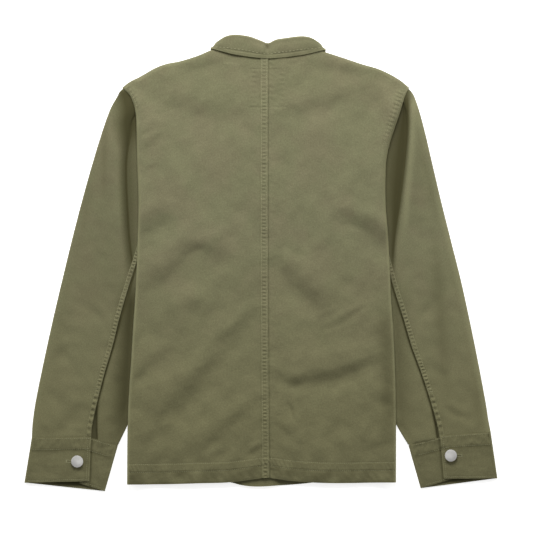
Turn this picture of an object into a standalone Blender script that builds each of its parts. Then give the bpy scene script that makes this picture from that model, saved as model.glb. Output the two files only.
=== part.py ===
"""Painter jacket of cotton twill, laid flat with its back up and its sleeves tucked beside and under it.

X runs across the jacket, Y up to the collar and Z up from the surface that it lies on. Lengths below are
in millimetres, and the origin is in the middle of the jacket's outline, on that surface. From below, the
layers at a side are: sleeve, front, back. Left and right are those of the wearer, whose back is up.
"""

import math

import bmesh
import bpy
import numpy as np
from mathutils import Matrix, Vector

MM = 0.001

# Cloth
WALL = 1.0  # one layer of twill
DOUBLE_WALL = 1.8  # cuffs and collar, two layers
SEAM_GAP = 0.3
REST_GAP = 0.35  # a layer over the one that it lies on

# Heights of the layers' outer faces
SLEEVE_HEIGHT = 4.3  # a flattened sleeve under the body
SLEEVE_PUFF = 1.6  # how much more it rises beside the body
SLEEVE_VALLEY = 0.7
SLEEVE_CAP = 14.0  # how far the upper wall of a sleeve's head curves in under the armhole's edge
SLEEVE_CAP_REACH = 0.03  # share of the sleeve's width in which it does so
BACK_HEIGHT = 5.9
BACK_OVER_SLEEVE = 8.2
BACK_OVER_PLACKET = 0.45
EDGE_ROUND = 6.0  # how far in from its folded edges the back starts to turn down
RIM_TILT = 0.5  # how much lower than its outer corner the inner corner of such an edge is

# Centre-back seam, whose felled band stands proud on the left panel
CENTRE_BACK_TOP = 12.5  # x at the top of the seam
CENTRE_BACK_HEM = 14.5
SEAM_TOP_Y, SEAM_NECK_Y, SEAM_HEM_Y = 330.0, 334.0, -350.0
FELL_WIDTH = 12.0
FELL_RISE = 0.8

# Front opening: the left front laps under the right one as the jacket lies
CENTRE_FRONT_NECK = 5.0  # x at the top of the opening
CENTRE_FRONT_HEM = -10.0
OPENING_TOP_Y, OPENING_HEM_Y = 266.0, -354.0
PLACKET_HALF_WIDTH = 21.0
PLACKET_RAMP = 20.0
FRONT_BUTTON_HEIGHTS = (190.0, 62.0, -66.0, -194.0)
FRONT_BUTTON_RADIUS = 9.0
FRONT_BUTTON_THICKNESS = 1.5
PLACKET_LIFT = FRONT_BUTTON_THICKNESS + 0.4

# Neck
NECK_CENTRE = 11.5
NECK_HALF_WIDTH = 79.0
NECK_POINT_Y = 342.0
FRONT_NECK_DROP = 78.0
NECK_SCOOP = 2.4  # 2 is a parabola, more is squarer
COLLAR_LEAF_DEPTH = 34.0
COLLAR_STAND_RUN = 9.0  # how far the front of the collar stands in from the neck seam
COLLAR_LIFT = DOUBLE_WALL + SEAM_GAP
STAND_HEIGHT = 4.9  # the top of the collar's front stand, under the back

# Buttons on the cuffs
CUFF_BUTTON_RADIUS = 9.6
CUFF_BUTTON_HEIGHT = 4.2
CUFF_HEIGHT = 6.8
CUFF_FOLD_HEIGHT = 5.6
CUFF_UNDER_HEIGHT = 4.7

# The body's side edges, from the shoulder points down to the hem
BODY_SIDES = (
    # y, left x, right x
    (280.5, -221.5, 237.0),
    (270.0, -211.0, 232.0),
    (254.0, -203.5, 226.5),
    (236.0, -200.0, 221.0),
    (211.0, -199.0, 212.5),
    (188.0, -198.5, 205.5),
    (165.0, -198.0, 201.0),
    (137.0, -197.0, 199.5),
    (88.0, -196.0, 200.0),
    (49.0, -197.0, 203.0),
    (-2.0, -198.5, 206.0),
    (-53.0, -201.0, 208.0),
    (-105.0, -204.5, 211.5),
    (-156.0, -207.5, 214.0),
    (-207.0, -211.0, 215.5),
    (-258.0, -213.0, 216.0),
    (-354.0, -214.0, 216.0),
)

# Shoulder lines with the back neck seam between them
BODY_TOP = (
    # x, y
    (-221.5, 280.5),
    (-215.0, 286.0),
    (-191.0, 299.5),
    (-167.0, 313.0),
    (-157.0, 317.0),
    (-127.0, 323.5),
    (-95.0, 334.0),
    (-81.0, 340.0),
    (-68.0, 342.5),
    (-40.0, 337.5),
    (12.0, 334.0),
    (60.0, 336.5),
    (91.0, 340.5),
    (104.0, 337.0),
    (129.0, 329.0),
    (161.0, 318.5),
    (193.0, 308.5),
    (225.0, 290.5),
    (237.0, 280.5),
)

BACK_HEM = (
    # x, y
    (-214.0, -354.0),
    (-148.0, -353.5),
    (-100.0, -352.0),
    (-52.0, -350.5),
    (-25.0, -347.5),
    (9.0, -343.5),
    (47.0, -348.0),
    (79.0, -350.5),
    (216.0, -350.5),
)

FRONT_HEM = (
    # x, y
    (-214.0, -353.0),
    (-97.0, -351.0),
    (-45.0, -351.5),
    (-34.0, -354.5),
    (-21.0, -356.5),
    (31.0, -355.5),
    (60.0, -353.5),
    (95.0, -350.0),
    (216.0, -350.0),
)

# Stations down each flattened sleeve, from the armhole to the cuff
LEFT_SLEEVE = (
    # outer x, outer y, inner x, inner y, share of the width at which the back seam runs
    (-222.0, 278.0, -105.0, 28.0, 0.50),
    (-226.5, 273.0, -106.0, 24.0, 0.51),
    (-230.0, 266.0, -108.0, 17.0, 0.52),
    (-241.0, 246.0, -113.0, 4.0, 0.54),
    (-253.5, 211.0, -117.0, -15.0, 0.56),
    (-268.0, 164.0, -124.0, -41.0, 0.57),
    (-286.0, 100.0, -132.0, -69.0, 0.57),
    (-302.5, 36.0, -141.0, -100.0, 0.56),
    (-318.0, -28.0, -153.0, -132.0, 0.56),
    (-333.0, -92.0, -165.0, -164.0, 0.57),
    (-347.0, -156.0, -181.0, -196.0, 0.58),
    (-360.0, -220.0, -201.0, -233.0, 0.61),
    (-365.0, -255.0, -216.0, -265.0, 0.64),
    (-366.5, -280.0, -229.0, -292.0, 0.69),
)
RIGHT_SLEEVE = (
    # outer x, outer y, inner x, inner y, share of the width at which the back seam runs
    (237.5, 278.0, 115.0, 28.0, 0.46),
    (241.5, 273.0, 116.0, 24.0, 0.49),
    (245.5, 266.0, 118.0, 17.0, 0.52),
    (252.5, 246.0, 123.0, 4.0, 0.56),
    (262.0, 211.0, 127.0, -15.0, 0.57),
    (273.0, 164.0, 134.0, -41.0, 0.58),
    (288.0, 100.0, 142.0, -69.0, 0.59),
    (304.0, 36.0, 151.0, -100.0, 0.59),
    (320.0, -28.0, 161.0, -132.0, 0.58),
    (334.0, -92.0, 174.0, -164.0, 0.58),
    (347.0, -156.0, 187.0, -196.0, 0.56),
    (359.0, -220.0, 203.0, -233.0, 0.55),
    (363.5, -249.0, 219.0, -263.0, 0.57),
    (367.5, -270.0, 237.0, -288.0, 0.62),
)
FRONT_SEAM_SHARE = 0.86  # the sleeve's other seam, on the wall that lies on the surface

# Corners of each cuff: the point on its seam, then the one on its free edge
CUFFS = {
    # side: buttonhole end, outer fold, inner fold, button end, button centre
    "left": dict(
        lap=((-271.5, -278.5), (-274.5, -348.5)),
        outer=((-366.5, -280.0), (-378.2, -351.0)),
        inner=((-229.0, -292.0), (-249.5, -364.7)),
        under=((-284.0, -281.5), (-290.0, -352.5)),
        button=(-293.5, -317.0),
        bow=10.0,
    ),
    "right": dict(
        lap=((286.5, -276.0), (292.5, -344.5)),
        outer=((367.5, -270.0), (378.2, -344.0)),
        inner=((237.0, -288.0), (255.5, -360.0)),
        under=((300.0, -279.0), (306.0, -345.5)),
        button=(303.5, -307.5),
        bow=5.5,
    ),
}

# Collar sections behind the neck and round to under the shoulders, as distances out from its centre.
# The turn is how far the folded edge has swung from lying over the back to lying under the front.
COLLAR_BACK = (
    # seam out, y, z, roll out, y left, y right, z, edge out, y, z, turn in degrees, half gap
    (0.0, 335.6, 5.8, 0.0, 350.6, 350.6, 11.5, 0.0, 327.4, 8.2, 6, 1.6),
    (14.0, 336.2, 5.8, 13.0, 355.0, 356.2, 13.0, 14.0, 328.2, 8.2, 8, 1.6),
    (30.0, 337.6, 5.8, 30.0, 361.0, 358.8, 14.5, 30.0, 330.0, 8.2, 10, 1.6),
    (52.0, 340.8, 5.8, 52.0, 364.0, 361.4, 14.5, 52.0, 333.5, 8.2, 14, 1.6),
    (66.0, 343.2, 5.6, 67.0, 361.5, 359.6, 13.0, 68.0, 337.0, 8.2, 24, 1.6),
    (76.0, 344.4, 5.0, 79.0, 354.5, 353.0, 9.5, 86.0, 341.6, 7.6, 50, 1.4),
    (78.2, 344.2, 3.7, 84.0, 349.0, 347.5, 5.6, 94.0, 342.2, 3.9, 95, 1.2),
    (75.6, 340.6, 3.3, 77.5, 346.5, 345.5, 2.1, 95.0, 341.6, 0.9, 172, 1.2),
)
COLLAR_RIGHT_DROP = 2.0  # the right shoulder lies this much lower at the neck
COLLAR_FRONT_SHARES = (0.92, 0.76, 0.56, 0.32, 0.05)  # of the half width of the neck, out from its middle

# Main folds of the back, seen as soft troughs (below zero) and ridges
BACK_FOLDS = (
    # x1, y1, x2, y2, height, half width
    (-137.0, 260.0, 2.0, 230.0, -1.3, 15.0),
    (2.0, 230.0, 168.0, 273.0, -1.3, 15.0),
    (199.0, 268.0, 207.0, 228.0, 1.4, 9.0),
    (-192.0, 55.0, -160.0, 79.0, -1.2, 8.0),
    (143.0, 60.0, 199.0, 39.0, -1.2, 7.0),
    (-97.0, 28.0, -160.0, -28.0, -1.2, 12.0),
    (44.0, -4.0, 87.0, -60.0, -1.6, 16.0),
    (-17.0, -84.0, -105.0, -172.0, -1.6, 11.0),
    (-105.0, -172.0, -192.0, -228.0, -1.4, 11.0),
    (-73.0, -132.0, -160.0, -204.0, 1.2, 12.0),
    (28.0, -175.0, 64.0, -193.0, -1.3, 7.0),
    (64.0, -193.0, 199.0, -151.0, -1.5, 8.0),
    (-25.0, -220.0, -97.0, -284.0, -1.2, 10.0),
)

# Main folds of the sleeves, on the walls that face up
SLEEVE_FOLDS = (
    # x1, y1, x2, y2, height, half width
    (-236.0, 262.0, -236.0, 110.0, 0.9, 12.0),
    (238.0, 262.0, 236.0, 110.0, 0.9, 9.0),
    (-222.0, -12.0, -218.0, -150.0, -0.9, 10.0),
    (222.0, -70.0, 226.0, -180.0, -0.9, 9.0),
    (-300.0, -60.0, -240.0, -110.0, -0.7, 9.0),
    (300.0, -40.0, 250.0, -92.0, -0.7, 9.0),
)

# Where the panels have their points, as shares of their width and length: closer at edges, folds and steps
BACK_COLUMNS = [0.09, 0.17, 0.26, 0.35, 0.44, 0.53, 0.62, 0.71, 0.80, 0.88]
BACK_FOLD_ROWS = [0.035, 0.33, 0.395, 0.475, 0.56, 0.645, 0.725, 0.80, 0.90, 0.95, 1.0]
FRONT_OUTER_COLUMNS = [0.0, 0.02, 0.04, 0.09, 0.15, 0.22, 0.30, 0.38, 0.46, 0.53]
FRONT_INNER_COLUMNS = [0.72, 0.78, 0.84, 0.92, 1.0]
FRONT_ROWS = [
    0.0, 0.02, 0.05, 0.08, 0.12, 0.17, 0.23, 0.29, 0.34, 0.38, 0.41, 0.44, 0.47,
    0.53, 0.59, 0.65, 0.71, 0.77, 0.82, 0.86, 0.89, 0.93, 1.0]

TWILL = (0.162, 0.150, 0.080, 1.0)
METAL = (0.55, 0.54, 0.52, 1.0)


def side_sign(side):
    return -1 if side == "left" else 1


def column(table, index):
    return [row[index] for row in table]


def read(table, index, value, key=0):
    """The table's column at a value of its key column, in a straight line between rows."""
    keys, values = column(table, key), column(table, index)
    if keys[0] > keys[-1]:
        keys, values = keys[::-1], values[::-1]
    return float(np.interp(value, keys, values))


def ease(share):
    share = min(max(share, 0.0), 1.0)
    return share * share * (3 - 2 * share)


def mix(start, end, share):
    return start + (end - start) * share


def mix_points(start, end, share):
    return tuple(mix(a, b, share) for a, b in zip(start, end))


def folds_at(folds, x, y):
    """How much the folds raise or lower the cloth at a place."""
    total = 0.0
    for x1, y1, x2, y2, height, half_width in folds:
        length = math.hypot(x2 - x1, y2 - y1)
        along = ((x - x1) * (x2 - x1) + (y - y1) * (y2 - y1)) / length
        nearest = min(max(along, 0.0), length) / length
        away = math.hypot(x - mix(x1, x2, nearest), y - mix(y1, y2, nearest))
        total += height * math.exp(-((away / half_width) ** 2))
    return total


# Where things are in plan


def body_side(side, y):
    return read(BODY_SIDES, 1 if side == "left" else 2, y)


def centre_back(y):
    return mix(CENTRE_BACK_HEM, CENTRE_BACK_TOP, (y - SEAM_HEM_Y) / (SEAM_TOP_Y - SEAM_HEM_Y))


def centre_front(y):
    share = (y - OPENING_HEM_Y) / (OPENING_TOP_Y - OPENING_HEM_Y)
    return mix(CENTRE_FRONT_HEM, CENTRE_FRONT_NECK, share)


def sleeve_rows(side):
    return LEFT_SLEEVE if side == "left" else RIGHT_SLEEVE


def armhole_line(side, y):
    """X of the straight line on which the front and the sleeve meet, between the shoulder and the underarm."""
    outer_x, outer_y, inner_x, inner_y, _ = sleeve_rows(side)[0]
    return mix(inner_x, outer_x, (y - inner_y) / (outer_y - inner_y))


def past_sleeve_edge(side, y, x, armhole=False):
    """How far a place is past the sleeve's inner fold, outwards. Above the underarm, the armhole may be meant."""
    rows = sleeve_rows(side)
    edge = armhole_line(side, y) if armhole and y > rows[0][3] else read(rows, 2, y, key=3)
    return (x - edge) * side_sign(side)


def front_neck(x):
    """Y of the front neck seam, a scoop between the neck points."""
    across = min(abs(x - NECK_CENTRE) / NECK_HALF_WIDTH, 1.0)
    return NECK_POINT_Y - FRONT_NECK_DROP * (1 - across ** NECK_SCOOP)


def neck_place(share):
    """A point of the front neck seam and the way out from it; the share is 0 in the middle, 1 at a side."""
    x = NECK_CENTRE + NECK_HALF_WIDTH * share
    slope = FRONT_NECK_DROP / NECK_HALF_WIDTH * NECK_SCOOP * abs(share) ** (NECK_SCOOP - 1)
    away = Vector((math.copysign(slope, share), -1.0)).normalized()
    return Vector((x, front_neck(x))), away


NECK_PLACES = [neck_place(step / 24)[0] for step in range(-24, 25)]


def past_neck(x, y):
    """How far a place is outside the front neck's curve, below zero in the neck opening."""
    distance = min((place - Vector((x, y))).length for place in NECK_PLACES)
    in_opening = abs(x - NECK_CENTRE) < NECK_HALF_WIDTH and y > front_neck(x)
    return -distance if in_opening else distance


# Heights of the layers


def front_over_sleeve(side, x, y):
    underarm = sleeve_rows(side)[0][3]
    rise = ease((past_sleeve_edge(side, y, x) + 48) / 30)
    fade = 1 - ease((y - underarm - 20) / 30)
    return (SLEEVE_HEIGHT + SEAM_GAP) * rise * fade


def front_over_collar(x, y):
    return COLLAR_LIFT * (1 - ease((past_neck(x, y) - COLLAR_LEAF_DEPTH - 16) / 22))


def front_height(side, x, y):
    """The lower, outer face of a front."""
    lift = max(front_over_sleeve(side, x, y), front_over_collar(x, y))
    from_centre = x - centre_front(y)
    on_strip = ease((from_centre + PLACKET_HALF_WIDTH + 8 + PLACKET_RAMP) / PLACKET_RAMP)
    if side == "left":
        return max(lift, PLACKET_LIFT * on_strip)
    off_strip = ease((from_centre - PLACKET_HALF_WIDTH - 5) / PLACKET_RAMP)
    over_left = front_height("left", x, y) + WALL + SEAM_GAP
    return mix(over_left, lift, off_strip) if off_strip < 1 else lift


def front_top(side, x, y):
    return front_height(side, x, y) + WALL


def back_height(x, y):
    """The upper, outer face of the back away from its edges."""
    side = "left" if x < NECK_CENTRE else "right"
    rise = ease((past_sleeve_edge(side, y, x, armhole=True) + 60) / 50)
    strip = 1 - ease((abs(x - centre_front(y)) - PLACKET_HALF_WIDTH) / 30)
    height = mix(BACK_HEIGHT + BACK_OVER_PLACKET * strip, BACK_OVER_SLEEVE, rise)
    height += folds_at(BACK_FOLDS, x, y)
    beneath = 0.0
    if past_neck(x, y) > 0:
        on_overlap = abs(x - centre_front(y)) < PLACKET_HALF_WIDTH + 10
        beneath = front_top("right" if on_overlap else side, x, y)
    if -20 < past_neck(x, y) < 6 and y < NECK_POINT_Y - 20:
        beneath = max(beneath, STAND_HEIGHT)
    return max(height, beneath + WALL + REST_GAP + 0.25)


def back_rim(side, x, y, along_shoulder):
    """Height at which the back's turned-down edge ends, just over what lies there."""
    gap = REST_GAP + RIM_TILT
    over_sleeve = SLEEVE_HEIGHT + gap
    if along_shoulder:
        from_point = abs(x - BODY_TOP[0 if side == "left" else -1][0])
        over_front = front_top(side, x, y) + gap
        return mix(over_sleeve, over_front, ease((from_point - 12) / 14))
    underarm = sleeve_rows(side)[0][3]
    over_front = front_top(side, body_side(side, y), y) + gap
    return mix(over_front, over_sleeve, ease((y - underarm + 60) / 50))


def rounded(distance):
    """Share of the full height that a turned-down edge has at a distance in from it."""
    past = min(max(1 - distance / EDGE_ROUND, 0.0), 1.0)
    return math.sqrt(1 - past * past)


def back_point(side, across, down):
    """A point of the back's outer face; across runs from the side edge to the centre-back seam."""
    top_side, hem_side = BODY_SIDES[0][0], BODY_SIDES[-1][0]
    side_y = mix(top_side, hem_side, down)
    seam_half_gap = SEAM_GAP / 2 * side_sign(side)
    top_x = mix(body_side(side, top_side), centre_back(SEAM_NECK_Y) + seam_half_gap, across)
    hem_x = mix(body_side(side, hem_side), centre_back(SEAM_HEM_Y) + seam_half_gap, across)
    y = mix(read(BODY_TOP, 1, top_x), read(BACK_HEM, 1, hem_x), down)
    edge_x = body_side(side, side_y)
    x = mix(edge_x, centre_back(y) + seam_half_gap, across)
    from_side = abs(x - edge_x)
    from_top = read(BODY_TOP, 1, top_x) - y
    past_neck_point = abs(top_x - NECK_CENTRE) - NECK_HALF_WIDTH
    on_shoulder = past_neck_point > 0
    share = rounded(from_side) * mix(1, rounded(from_top), ease(past_neck_point / 14))
    height = back_height(x, y)
    if side == "left":
        from_seam = centre_back(y) - x
        height += FELL_RISE * (1 - ease((from_seam - FELL_WIDTH) / 3))
    rim = back_rim(side, x, y, on_shoulder and from_top < from_side)
    return x, y, mix(min(rim, height - 0.5), height, share)


def front_side(side, y):
    """X of a front's outer edge: the armhole, then out over the sleeve to the side seam."""
    underarm = sleeve_rows(side)[0][3]
    inwards = -side_sign(side)
    seam = body_side(side, y) + SEAM_GAP * inwards
    if y > underarm:
        return armhole_line(side, y) + 0.6 * inwards
    return mix(armhole_line(side, underarm) + 0.6 * inwards, seam, min((underarm - y) / 80, 1))


def front_edge(side, y):
    """X of a front's free edge in the overlap."""
    return centre_front(y) - side_sign(side) * PLACKET_HALF_WIDTH


def front_shoulder_y(side):
    return sleeve_rows(side)[0][1] + 0.5


def front_point(side, across, down):
    """A point of a front's outer face; across runs from the side to the free edge."""
    hem_y = FRONT_HEM[0][1]
    side_y = mix(front_shoulder_y(side), BODY_SIDES[-1][0], down)
    top_x = mix(armhole_line(side, front_shoulder_y(side)), front_edge(side, OPENING_TOP_Y), across)
    hem_x = mix(body_side(side, hem_y), front_edge(side, hem_y), across)
    on_shoulder = abs(top_x - NECK_CENTRE) > NECK_HALF_WIDTH
    top_y = read(BODY_TOP, 1, top_x) - SEAM_GAP if on_shoulder else front_neck(top_x)
    y = mix(top_y, read(FRONT_HEM, 1, hem_x), down)
    x = mix(front_side(side, side_y), front_edge(side, y), across)
    return x, y, front_height(side, x, y)


def sleeve_station(side, place):
    """The station at a place counted in rows: outer point, inner point, and share of the back seam."""
    rows = sleeve_rows(side)
    values = [float(np.interp(place, range(len(rows)), column(rows, index))) for index in range(5)]
    return values[0:2], values[2:4], values[4]


def sleeve_top(side, x, y):
    """The upper face of a sleeve: low where the body lies on it, softly full beside it."""
    past_body = (x - body_side(side, y)) * side_sign(side)
    if y < BODY_SIDES[-1][0]:
        past_body = 40.0
    full = SLEEVE_PUFF * ease((past_body - 15) / 22)
    valley = SLEEVE_VALLEY * math.exp(-(((past_body - 7) / 7) ** 2))
    folds = folds_at(SLEEVE_FOLDS, x, y) * ease(past_body / 12)
    return min(SLEEVE_HEIGHT + full - valley + folds, SLEEVE_HEIGHT + SLEEVE_PUFF + 0.1)


def sleeve_point(side, stretch, share, place):
    """A point of a sleeve's outer face, on the stretch that is named, at a share of that stretch."""
    outer, inner, seam = sleeve_station(side, place)
    width = math.dist(outer, inner)
    last = len(sleeve_rows(side)) - 1
    at_outer = stretch.startswith("outer")
    edge = outer if at_outer else inner
    x, y = mix_points(edge, inner if at_outer else outer, 0.02)
    radius = sleeve_top(side, x, y) / 2
    if stretch.endswith("fold"):
        angle = math.pi * share
        from_edge = radius * (1 - math.sin(angle))
        height = radius * (1 + math.cos(angle))
    elif stretch.endswith("top"):
        seam_from_edge = width * (seam if at_outer else 1 - seam) - SEAM_GAP / 2
        from_edge = mix(seam_from_edge, radius, share)
        height = None
    else:
        seam_from_edge = width * (FRONT_SEAM_SHARE if at_outer else 1 - FRONT_SEAM_SHARE) - SEAM_GAP / 2
        from_edge = mix(radius, seam_from_edge, share)
        height = 0.0
    from_outer = (from_edge if at_outer else width - from_edge) / width
    x, y = mix_points(outer, inner, from_outer)
    if height is None:
        height = mix(sleeve_top(side, x, y), 2 * radius, ease((share - 0.7) / 0.3))
    if stretch.endswith("top"):
        bow = CUFFS[side]["bow"]
        rise = bow * from_outer / seam if at_outer else 0.6 * bow * (1 - from_outer) / (1 - seam)
        y += rise * ease(1 - (last - place) / 1.5)
    if not stretch.endswith("under"):
        cap = SLEEVE_CAP * (1 - math.exp(-from_outer / SLEEVE_CAP_REACH)) * (1 - ease((from_outer - 0.3) / 0.3))
        cap *= ease(1 - place / 3) * ease((height / radius - 0.9) / 0.8)
        x += cap * (inner[1] - outer[1]) / width * side_sign(side)
        y += cap * abs(inner[0] - outer[0]) / width
    return x, y, height


def cuff_point(side, stretch, share, down):
    """A point of a cuff's outer face; the stretches run round it from its buttonhole end to its button end."""
    corners = CUFFS[side]
    lap, outer, inner, under = (
        mix_points(corners[name][0], corners[name][1], down) for name in ("lap", "outer", "inner", "under"))
    if stretch == "lap":
        x, y = mix_points(lap, outer, share * 0.97)
        height = mix(CUFF_HEIGHT, CUFF_FOLD_HEIGHT, ease((share - 0.45) / 0.5))
    elif stretch == "outer fold":
        radius = CUFF_FOLD_HEIGHT / 2
        angle = math.pi * share
        x, y = mix_points(outer, inner, radius * (1 - math.sin(angle)) / math.dist(outer, inner))
        height = radius * (1 + math.cos(angle))
    elif stretch == "underside":
        x, y = mix_points(outer, inner, mix(0.03, 0.97, share))
        height = 0.0
    elif stretch == "inner fold":
        radius = CUFF_UNDER_HEIGHT / 2
        angle = math.pi * share
        x, y = mix_points(inner, outer, radius * (1 - math.sin(angle)) / math.dist(outer, inner))
        height = radius * (1 - math.cos(angle))
    else:
        x, y = mix_points(inner, under, mix(0.06, 1, share))
        height = CUFF_UNDER_HEIGHT
    return x, y, height


def collar_sections():
    """(seam, roll, edge, turn, half gap, side) round the collar, from its left end to its right end."""
    halves = {}
    for side in ("left", "right"):
        sign = side_sign(side)
        back = []
        for row in COLLAR_BACK:
            drop = 0 if side == "left" else COLLAR_RIGHT_DROP * (row[0] / NECK_HALF_WIDTH) ** 2
            seam = (NECK_CENTRE + sign * row[0], row[1] - drop, row[2])
            roll = (NECK_CENTRE + sign * row[3], row[4 if side == "left" else 5], row[6])
            edge = (NECK_CENTRE + sign * row[7], row[8] - drop, row[9])
            back.append((seam, roll, edge, math.radians(row[10]), row[11], sign))
        front = []
        for share in COLLAR_FRONT_SHARES:
            neck, away = neck_place(sign * share)
            lapped = ease((0.6 - share) / 0.4) if side == "right" else 0.0
            stand = mix(3.3, STAND_HEIGHT - DOUBLE_WALL / 2, lapped)
            half_gap = (stand - DOUBLE_WALL / 2) / 2
            seam = neck - away * (1.4 + share)
            roll = neck - away * COLLAR_STAND_RUN
            edge = neck + away * COLLAR_LEAF_DEPTH * ease(1.45 - share)
            front.append(((*seam, stand), (*roll, DOUBLE_WALL / 2 + half_gap), (*edge, DOUBLE_WALL / 2),
                          math.pi, half_gap, sign))
        halves[side] = back + front
    return halves["left"][::-1] + halves["right"][1:]


def collar_point(sections, along, across):
    """A point of the middle of the collar's two layers; across runs from the neck seam over the roll."""
    index = min(int(along), len(sections) - 2)
    share = along - index
    first, second = sections[index], sections[index + 1]
    seam, roll, edge = (Vector(first[i]).lerp(Vector(second[i]), share) for i in range(3))
    turn, half_gap = (mix(first[i], second[i], share) for i in (3, 4))
    sign = mix(first[5], second[5], share)
    over = Vector((sign * math.sin(turn), 0, math.cos(turn)))
    base = (seam + edge) / 2
    outwards = (roll - base).normalized()
    over = (over - over.dot(outwards) * outwards).normalized()
    centre = roll - outwards * half_gap
    if across <= 0.4:
        return seam.lerp(centre - over * half_gap, across / 0.4)
    if across >= 0.6:
        return edge.lerp(centre + over * half_gap, (1 - across) / 0.4)
    angle = math.pi * ((across - 0.4) / 0.2 - 0.5)
    return centre + outwards * half_gap * math.cos(angle) + over * half_gap * math.sin(angle)


# Making the pieces


def clear_scene():
    for item in list(bpy.data.objects):
        bpy.data.objects.remove(item, do_unlink=True)


def make_material(name, colour, roughness, metallic=0.0):
    material = bpy.data.materials.new(name)
    material.use_nodes = True
    shader = material.node_tree.nodes["Principled BSDF"]
    shader.inputs["Base Color"].default_value = colour
    shader.inputs["Roughness"].default_value = roughness
    shader.inputs["Metallic"].default_value = metallic
    return material


def place(name, mesh, material):
    mesh.materials.append(material)
    mesh.shade_smooth()
    mesh.set_sharp_from_angle(angle=math.radians(50))
    piece = bpy.data.objects.new(name, mesh)
    bpy.data.collections["painter jacket"].objects.link(piece)
    return piece


def add_cloth(name, across, down, point, wall, material, turned=False, offset=-1.0):
    """A sheet: a grid moved onto the piece's outer face, with its wall made by Solidify."""
    sheet = bmesh.new()
    bmesh.ops.create_grid(sheet, x_segments=len(across) - 1, y_segments=len(down) - 1, size=0.5)
    for corner in sheet.verts:
        i = round((corner.co.x + 0.5) * (len(across) - 1))
        j = round((0.5 - corner.co.y) * (len(down) - 1))
        corner.co = Vector(point(across[i], down[j])) * MM
    if turned:
        bmesh.ops.reverse_faces(sheet, faces=sheet.faces)
    mesh = bpy.data.meshes.new(name)
    sheet.to_mesh(mesh)
    sheet.free()
    piece = place(name, mesh, material)
    solid = piece.modifiers.new("wall", "SOLIDIFY")
    solid.thickness = wall * MM
    solid.offset = offset
    return piece


def edge_steps(length):
    """Shares of a length at which a turned-down edge needs its points."""
    return [EDGE_ROUND * (1 - math.cos(math.radians(angle))) / length for angle in (0, 24, 54, 90)]


def add_back(side, material):
    top, hem = BODY_SIDES[0][0], BODY_SIDES[-1][0]
    width = abs(body_side(side, SEAM_NECK_Y) - centre_back(SEAM_NECK_Y))
    across = edge_steps(width) + BACK_COLUMNS
    fell = [1 - (FELL_WIDTH + 3) / width, 1 - FELL_WIDTH / width, 1.0]
    across += fell if side == "left" else [1.0]
    down = edge_steps(top - hem)
    down += [(top - y) / (top - hem) for y in column(BODY_SIDES, 0)[2:-1]]
    down += BACK_FOLD_ROWS
    down.sort()
    if side == "right":
        across = across[::-1]
    add_cloth("back_" + side, across, down, lambda a, d: back_point(side, a, d), WALL, material)


def add_front(side, material):
    corner = armhole_line(side, front_shoulder_y(side))
    neck_point = NECK_CENTRE + side_sign(side) * NECK_HALF_WIDTH
    neck = (neck_point - corner) / (front_edge(side, OPENING_TOP_Y) - corner)
    across = FRONT_OUTER_COLUMNS + [neck, neck + 0.025, neck + 0.06] + FRONT_INNER_COLUMNS
    if side == "right":
        across = across[::-1]
    add_cloth("front_" + side, across, FRONT_ROWS, lambda a, d: front_point(side, a, d), WALL, material,
              turned=True)


def add_sleeve(side, material):
    """The top sleeve wraps the outer fold and the undersleeve the inner one."""
    last = len(sleeve_rows(side)) - 1
    near_underarm = [5.5, 6.5, 7.5]
    places = sorted(list(range(last + 1)) + near_underarm + [last - 0.5])
    on_left = side == "left"
    for name, edge, top_steps, under_steps, turned in (
            ("top_sleeve", "outer", 6, 4, on_left),
            ("undersleeve", "inner", 4, 1, not on_left)):
        across = [(edge + " top", step / top_steps) for step in range(top_steps)]
        across += [(edge + " fold", step / 5) for step in range(6)]
        across += [(edge + " under", (step + 1) / under_steps) for step in range(under_steps)]
        add_cloth(f"{name}_{side}", across, places,
                  lambda a, d: sleeve_point(side, a[0], a[1], d), WALL, material, turned)


def add_cuff(side, cloth, metal):
    stretches = (("lap", 7), ("outer fold", 5), ("underside", 5), ("inner fold", 5), ("under", 3))
    across = []
    for stretch, steps in stretches:
        first = 0 if stretch in ("lap", "outer fold", "inner fold") else 1
        last = steps if stretch in ("outer fold", "inner fold", "under") else steps - 1
        across += [(stretch, step / steps) for step in range(first, last + 1)]
    down = [0.005, 0.25, 0.5, 0.75, 1.0]
    add_cloth("cuff_" + side, across, down, lambda a, d: cuff_point(side, a[0], a[1], d),
              DOUBLE_WALL, cloth, turned=side == "left")
    x, y = CUFFS[side]["button"]
    add_button("cuff_button_" + side, (x, y, CUFF_HEIGHT + SEAM_GAP), CUFF_BUTTON_RADIUS,
               CUFF_BUTTON_HEIGHT, metal)


def add_button(name, centre, radius, height, material):
    """A turned shank button: a domed face with a rolled rim over a short shank."""
    profile = (
        (0.0, 1.0), (0.45, 0.96), (0.72, 0.86), (0.80, 0.76), (0.90, 0.80), (0.98, 0.68), (1.0, 0.5),
        (0.94, 0.32), (0.40, 0.24), (0.40, 0.0), (0.0, 0.0))
    outline = bmesh.new()
    corners = [outline.verts.new((radius * out * MM, 0, height * up * MM)) for out, up in profile]
    for first, second in zip(corners, corners[1:]):
        outline.edges.new((first, second))
    mesh = bpy.data.meshes.new(name)
    outline.to_mesh(mesh)
    outline.free()
    piece = place(name, mesh, material)
    turned = piece.modifiers.new("turned", "SCREW")
    turned.steps = turned.render_steps = 16
    turned.use_merge_vertices = True
    turned.merge_threshold = 0.00001
    turned.use_smooth_shade = True
    piece.matrix_world = Matrix.Translation(Vector(centre) * MM)


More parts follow.
